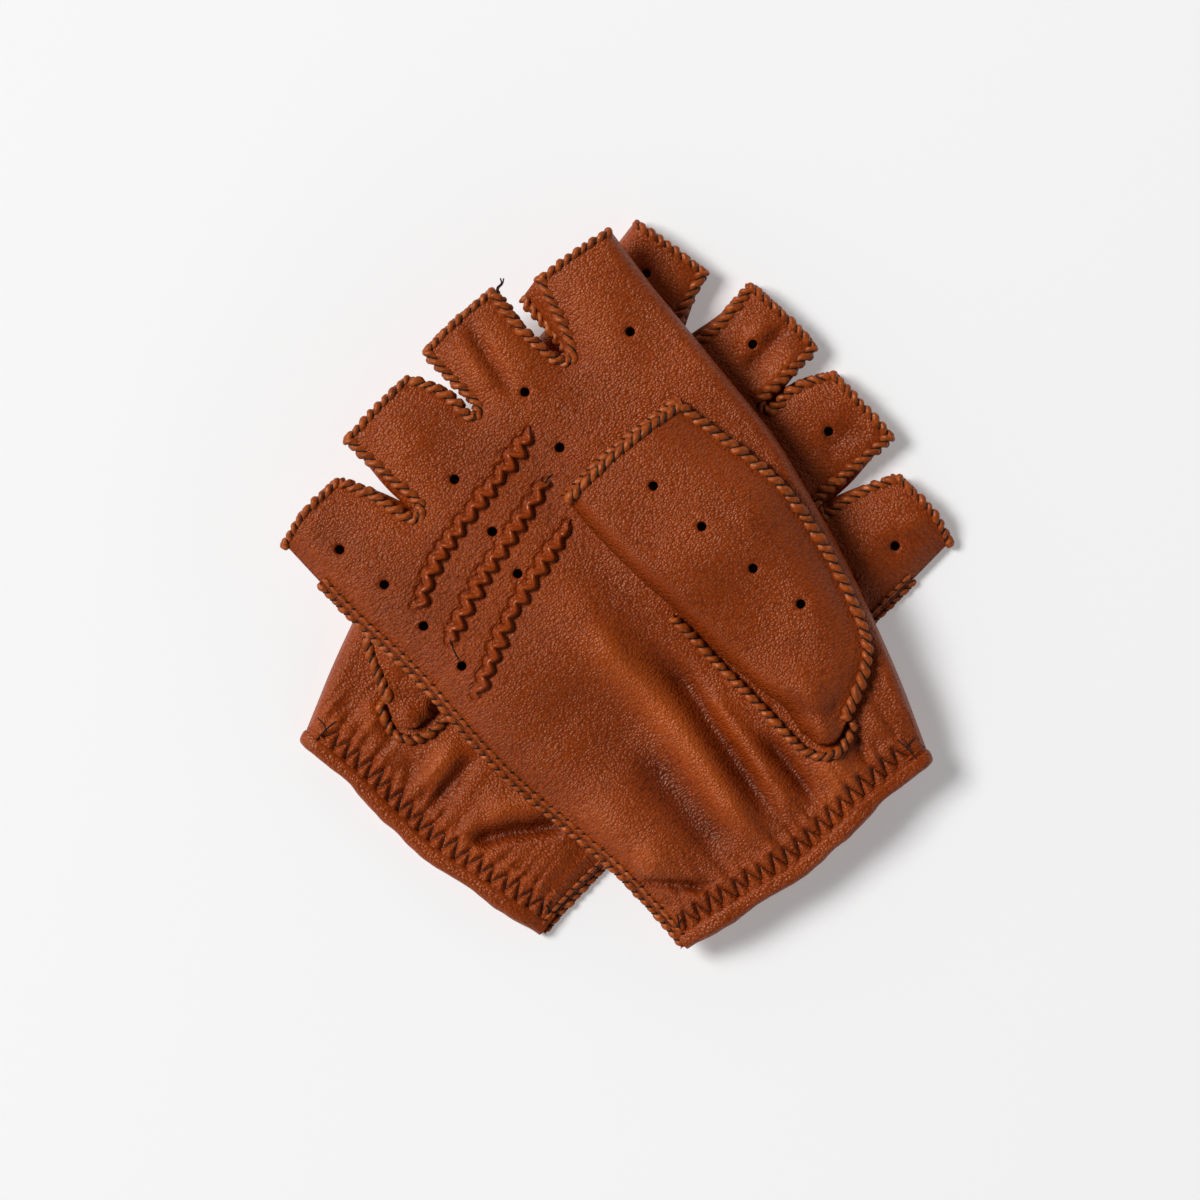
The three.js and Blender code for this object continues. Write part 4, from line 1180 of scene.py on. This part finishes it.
# %% Wrist elastic
TAPE_LOW = 3.4
TAPE_HIGH = 7.4


def make_elastic_strip(side):
    """A flat ribbon that follows the palm's height a little below it."""
    u = np.linspace(-20, 33, 120)
    ribbon = np.linspace(TAPE_LOW, TAPE_HIGH, 6)
    flat = np.stack(np.broadcast_arrays(u[:, None], cuff_edge(u)[:, None] + ribbon), -1)
    height = hand_shape(side, flat.reshape(-1, 2))[0] - 1.35
    points = np.column_stack([flat.reshape(-1, 2), height])
    faces = [net(*flat.shape[:2], wrapped=False)]
    cut = flat.reshape(-1, 2)
    piece = add_piece(f"{side}_wrist_elastic", side, points, faces, cut, None, (elastic_web,))
    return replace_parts(thicken(piece, "tape"), f"{side}_wrist_elastic")


elastics = {side: make_elastic_strip(side) for side in SIDES}
print("elastics:", [piece.name for piece in elastics.values()])

# %% [markdown]
# A dark zigzag holds the tape down. It is one thread that dips through the leather at each corner,
# so its line lies in the groove it has pressed and sinks there. The ends are tied off by hand.

# %% Zigzag stitch
ZIGZAG_ENDS = [
    [[-34.6, 3.6], [-33.6, 5.2], [-32.6, 7.4]],
    [[-36.0, 5.6], [-34.0, 5.5], [-32.2, 6.0]],
    [[33.6, 8.6], [34.3, 5.4], [34.4, 2.2]],
    [[33.8, 5.2], [35.4, 6.2], [37.4, 6.4]],
]


def make_zigzag(side):
    """The zigzag's thread: it lies in the groove, less a bell at each corner, where it dips."""
    path = resampled(ZIGZAG, 0.45)
    corner = np.linalg.norm(path[:, None] - ZIGZAG, axis=2).min(1)
    line = on_top(side, path, 0.16 - 0.5 * bell(corner, 0.35))
    tails = [on_top(side, curve(end, 0.5), 0.16)[None] for end in ZIGZAG_ENDS]
    piece = add_strands(f"{side}_zigzag_stitch", side, [line[None], *tails], 0.15, thread)
    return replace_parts(piece, f"{side}_zigzag_stitch")


zigzags = {side: make_zigzag(side) for side in SIDES}
print("zigzag legs:", len(ZIGZAG) - 1)

# %% [markdown]
# The thumb is made as the trank is: a top and a bottom skin that share their fold, here on the side
# of the palm's middle. It lies on the palm, swells up from its base seam, and thins to its closing
# seam at the index side. The left thumb is pressed flat at its root by the glove above it.

# %% Thumbs
THUMB_RADIUS = THUMB_THICK / 2
thumb_outline = leather_outline([THUMB_BASE, THUMB_SEAM, THUMB_TIP, THUMB_FOLD[::-1]], [0.6, 1.2, 1.1, 0])
THUMB_ROOT = {"right": 13, "left": 26}
DENT = (24.5, 28)
THUMB_FOLDS = [
    ([[19.8, 34], [21.2, 27], [25, 23.4], [30, 25.4]], 1.2, -0.9, 4),
    ([[23.4, 38], [24.4, 31], [28, 28]], 2.4, 0.6, 4),
    ([[44, 62], [36, 70], [30, 82]], 2.6, -0.5, 6),
    ([[40, 32], [33, 36], [27, 44]], 3.5, -0.5, 5),
    ([[24, 46], [19, 62], [16, 80]], 4.5, 0.5, 9),
    ([[38, 70], [33, 84]], 4, -0.35, 6),
]


def thumb_shape(side, flat):
    """Top and bottom heights: the thumb's floor, plus its thickness times arches from base and seam."""
    floor = ground(side, flat[:, 1]) + HAND_THICK + THUMB_REST
    seam = from_line(THUMB_SEAM, flat)[0]
    base = from_line(THUMB_BASE, flat)[0]
    tip = from_line(THUMB_TIP, flat)[0]
    arch = 1 - (1 - np.clip((seam - 2.4) / 12, 0, 1)) ** 2.2
    start = 1 - (1 - np.clip((base - 0.6) / THUMB_ROOT[side], 0, 1)) ** 2.0
    thick = 1.9 + (THUMB_THICK - 1.9) * np.minimum(arch, start) ** 0.9
    thick = thick - 0.9 * np.exp(-tip / 4) * arch
    if side == "left":
        thick = thick - 3.0 * bell(np.linalg.norm(flat - DENT, axis=1), 7)
    thick = np.maximum(thick, 1.8)
    relief = folded(THUMB_FOLDS, flat, 1.2, -1, 0) * rise(seam, 1, 4)
    wave = 0.22 * (swell(flat, 24, 15 if side == "right" else 16) - 1) * rise(seam, 1, 6)
    top = floor + thick + relief * (0.8 if side == "right" else 0.2) + wave
    middle = floor + np.minimum(thick / 2, THUMB_RADIUS)
    gap = from_line(THUMB_FOLD, flat)[0]
    top, bottom, _ = folded_round(top, floor - 0.15, middle, gap, THUMB_RADIUS)
    return top, bottom, relief


thumb_top_flat, thumb_top_faces = cut_skin(thumb_outline, THUMB_VENTS, [], 0.85, THUMB_FOLD, THUMB_RADIUS)
thumb_low_flat, thumb_low_faces = cut_skin(thumb_outline, NO_VENTS, [], 1.6, THUMB_FOLD, THUMB_RADIUS)


def make_thumb(side):
    """Both skins of a thumb in one mesh, with its vents through the top one."""
    top, _, relief = thumb_shape(side, thumb_top_flat)
    lips = from_vents(thumb_top_flat, THUMB_VENTS)
    top = top - 0.3 * bell(lips - VENT_RADIUS, 0.45)
    _, bottom, _ = thumb_shape(side, thumb_low_flat)
    thumb_on_fold = from_line(THUMB_FOLD, thumb_outline)[0] < 1e-6
    points, faces = two_skins(
        thumb_top_flat, thumb_top_faces, thumb_low_flat, thumb_low_faces, top, bottom, thumb_on_fold
    )
    top_cut = unrolled(thumb_top_flat, THUMB_FOLD, THUMB_RADIUS)
    low_cut = unrolled(thumb_low_flat, THUMB_FOLD, THUMB_RADIUS, True)
    cut = np.vstack([top_cut, low_cut]) + [170, 3]
    relief = np.concatenate([relief, np.zeros(len(thumb_low_flat))])
    points, faces, cut, relief = drop_loose(points, faces, cut, relief)
    piece = add_piece(f"{side}_thumb", side, points, faces, cut, relief, (leather, painted_shade_suede), 0.25)
    return thicken(piece, "thumb", 1)


thumbs = {side: make_thumb(side) for side in SIDES}
print("thumbs:", [len(piece.data.polygons) for piece in thumbs.values()], "triangles before thickness")

# %% [markdown]
# The thumb's closing seam is a plump rope of beads from the bottom of the U to the tip. Its tip is
# bound on both skins, and the base seam is a smaller bead on the palm beside the fold.

# %% Seams of the thumb
CLOSING = {"wide": 1.6, "tall": 1.4, "pitch": 2.8, "lean": 1.8, "pinch": 0.5}
BASE = {"wide": 1.3, "tall": 1.2, "pitch": 2.6, "lean": 1.3, "pinch": 0.55}
TOP_TIP = {"wide": 1.25, "tall": 1.05, "pitch": 2.6, "lean": 1.5}
LOW_TIP = {"wide": 1.15, "tall": 0.8, "pitch": 2.6}
thumb_edges = {}
for index, side in enumerate(SIDES):
    seed = 400 + 40 * index
    flat = beside(THUMB_SEAM, 1.3)
    low_edge = ground(side, flat[:, 1]) + HAND_THICK + THUMB_REST
    closing = np.column_stack([flat, low_edge + 1.35])
    flat = beside(THUMB_TIP, 1.4)
    top, bottom, _ = thumb_shape(side, flat)
    high_rim = np.column_stack([flat, top - 0.1])
    low_rim = np.column_stack([beside(THUMB_TIP, 0.1), bottom + 0.9])[::-1]
    tips = [
        whip_stitch(high_rim, UP, seed=seed + 1, **TOP_TIP),
        whip_stitch(low_rim, DOWN, seed=seed + 2, **LOW_TIP),
    ]
    closing_run = [whip_stitch(closing, UP, seed=seed, **CLOSING)]
    base_run = [whip_stitch(on_top(side, BASE_SEAM, 0.75), UP, seed=seed + 3, **BASE)]
    thumb_edges[side] = {
        "closing": add_edges(f"{side}_thumb_seam", side, closing_run),
        "tip": add_edges(f"{side}_thumb_tip_edges", side, tips),
        "base": add_edges(f"{side}_thumb_base_seam", side, base_run),
    }
print("thumb seams:", list(thumb_edges["right"]))

# %% [markdown]
# Rigging. The left glove lies still. The right glove lifts off it, its four fingers curl together
# at the knuckle line, and its thumb swings up. Pieces that cross a joint only have their place
# baked in and ride on no body; the rest ride on one body.

# %% What moves with what
KNUCKLE_WAY = np.array([-0.1386, 0.9903])
knuckle = np.array([0, KNUCKLE])
below_knuckle = lay("right", [*(knuckle - 9 * KNUCKLE_WAY), 12])
above_knuckle = lay("right", [*(knuckle + 0.5 * KNUCKLE_WAY), 12])
below_bend = lay("right", [20, THUMB_BEND - 8, 24])
above_bend = lay("right", [20, THUMB_BEND + 8, 24])


def over_knuckles(piece):
    """A piece across the knuckles: its place is baked into its mesh; nothing makes it bend."""
    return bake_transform(piece)


def over_thumb(piece):
    """A piece across the thumb's bend: its place is baked into its mesh; nothing makes it bend."""
    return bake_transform(piece)


for piece in (tranks["right"], *side_seams["right"], *tuck_cords["right"], tuck_threads["right"]):
    over_knuckles(piece)
for piece in (thumbs["right"], *thumb_edges["right"]["closing"]):
    over_thumb(piece)
for piece in (*gussets["right"], *finger_edges["right"]):
    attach(piece, "right_fingers")
for piece in thumb_edges["right"]["tip"]:
    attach(piece, "right_thumb")
for piece in (*thumb_edges["right"]["base"], hems["right"], elastics["right"], zigzags["right"]):
    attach(piece, "right_glove")
left_pieces = [tranks["left"], *side_seams["left"], thumbs["left"], *gussets["left"], *finger_edges["left"]]
left_pieces += [piece for pair in thumb_edges["left"].values() for piece in pair]
left_pieces += [hems["left"], elastics["left"], zigzags["left"], *tuck_cords["left"], tuck_threads["left"]]
for piece in left_pieces:
    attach(piece, "left_glove")
print("pieces on the left glove:", len(left_pieces))

# %% [markdown]
# Each detailed piece stands for the plain nodes whose place it takes, which are hidden.

# %% Which nodes the pieces stand for
for side in SIDES:
    trank_nodes = ["palm", "back", "index_fold"]
    slot_nodes = [f"{name}_slot_seam" for name in SLOTS]
    tip_nodes = [f"{name}_hem" for name in TIPS]
    side_nodes = ["side_seam"]
    if side == "right":
        trank_nodes += ["palm_fingers", "back_fingers", "index_fold_fingers"]
        side_nodes += ["side_seam_fingers"]
    stands_for = {
        tranks[side]: trank_nodes,
        finger_edges[side][0]: tip_nodes,
        finger_edges[side][2]: slot_nodes,
        side_seams[side][0]: side_nodes,
        thumbs[side]: ["thumb", "thumb_base"],
        thumb_edges[side]["closing"][0]: ["thumb_closing_seam", "thumb_base_closing_seam"],
        thumb_edges[side]["tip"][0]: ["thumb_hem"],
        thumb_edges[side]["base"][0]: ["thumb_base_seam"],
    }
    for piece, nodes in stands_for.items():
        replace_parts(piece, *[f"{side}_{node}" for node in nodes])

# %% [markdown]
# A plain pale table, one broad soft lamp to the left, and light from white walls all round. The lamp
# stands low enough to shade the folds. The table glows a little, which keeps the shadows pale.

# %% Table, light and camera


def make_table():
    """A single large sheet of lit opal glass a hair below the gloves; its glow keeps shadows pale."""
    mesh = bpy.data.meshes.new("table")
    corners = np.array([[-1, -1, 0], [1, -1, 0], [1, 1, 0], [-1, 1, 0]]) * 2.5 - [0, 0, 0.0002]
    mesh.from_pydata(corners, [], [(0, 1, 2, 3)])
    finish = Finish("pale_table")
    glow = {"Emission_Color": (1, 1, 1, 1), "Emission_Strength": 0.25}
    mesh.materials.append(finish.surface(Base_Color=(0.80, 0.80, 0.80, 1), Roughness=0.95, **glow))
    table = bpy.data.objects.new("table", mesh)
    bpy.context.scene.collection.objects.link(table)
    return table


table = make_table()
VIEW_UP = np.array([0.609, 0.793, 0])
VIEW_RIGHT = np.array([0.793, -0.609, 0])
KEY_AWAY = 6.0
KEY_SIZE = 2.2
KEY_POWER = 328


def add_lamp(name, where, size, power):
    """A square soft lamp that faces the middle of the gloves."""
    lamp = bpy.data.lights.new(name, "AREA")
    lamp.shape = "SQUARE"
    lamp.size = size
    lamp.energy = power
    item = bpy.data.objects.new(name, lamp)
    bpy.context.scene.collection.objects.link(item)
    z = unit(where)
    x = unit(np.cross([0, 0, 1], z))
    turned = np.eye(4)
    turned[:3, :3] = np.stack([x, np.cross(z, x), z], 1)
    turned[:3, 3] = where
    item.matrix_world = turned.T.tolist()
    return item


key_way = unit(-0.90 * VIEW_RIGHT + 0.32 * VIEW_UP + [0, 0, 1.08])
add_lamp("key", key_way * KEY_AWAY, KEY_SIZE, KEY_POWER)


def make_studio():
    """White walls all round and a darker ceiling: the brightness falls as the direction turns upwards."""
    world = bpy.data.worlds.new("studio")
    world.use_nodes = True
    nodes = world.node_tree.nodes
    links = world.node_tree.links
    way = nodes.new("ShaderNodeTexCoord")
    parts = nodes.new("ShaderNodeSeparateXYZ")
    fall = nodes.new("ShaderNodeMapRange")
    fall.interpolation_type = "SMOOTHSTEP"
    for name, value in {"From Min": 0.35, "From Max": 0.8, "To Min": 0.42, "To Max": 0.02}.items():
        fall.inputs[name].default_value = value
    links.new(way.outputs["Generated"], parts.inputs[0])
    links.new(parts.outputs["Z"], fall.inputs["Value"])
    links.new(fall.outputs[0], nodes["Background"].inputs["Strength"])
    nodes["Background"].inputs["Color"].default_value = (1, 1, 1, 1)
    return world


bpy.context.scene.world = make_studio()
bpy.context.scene.view_settings.view_transform = "Standard"

VIEW_MIDDLE = (-0.00157, 0.0029)
VIEW_HEIGHT = 2.014
FOCAL_LENGTH = 255.3
lens = bpy.data.cameras.new("above")
lens.sensor_width = 36
lens.lens = FOCAL_LENGTH
lens.clip_end = 20
camera = bpy.data.objects.new("above", lens)
camera.location = (*VIEW_MIDDLE, VIEW_HEIGHT)
camera.rotation_euler = (0, 0, -np.arctan2(VIEW_UP[0], VIEW_UP[1]))
bpy.context.scene.collection.objects.link(camera)
bpy.context.scene.camera = camera
print("the lamp stands at", (key_way * KEY_AWAY).round(2))
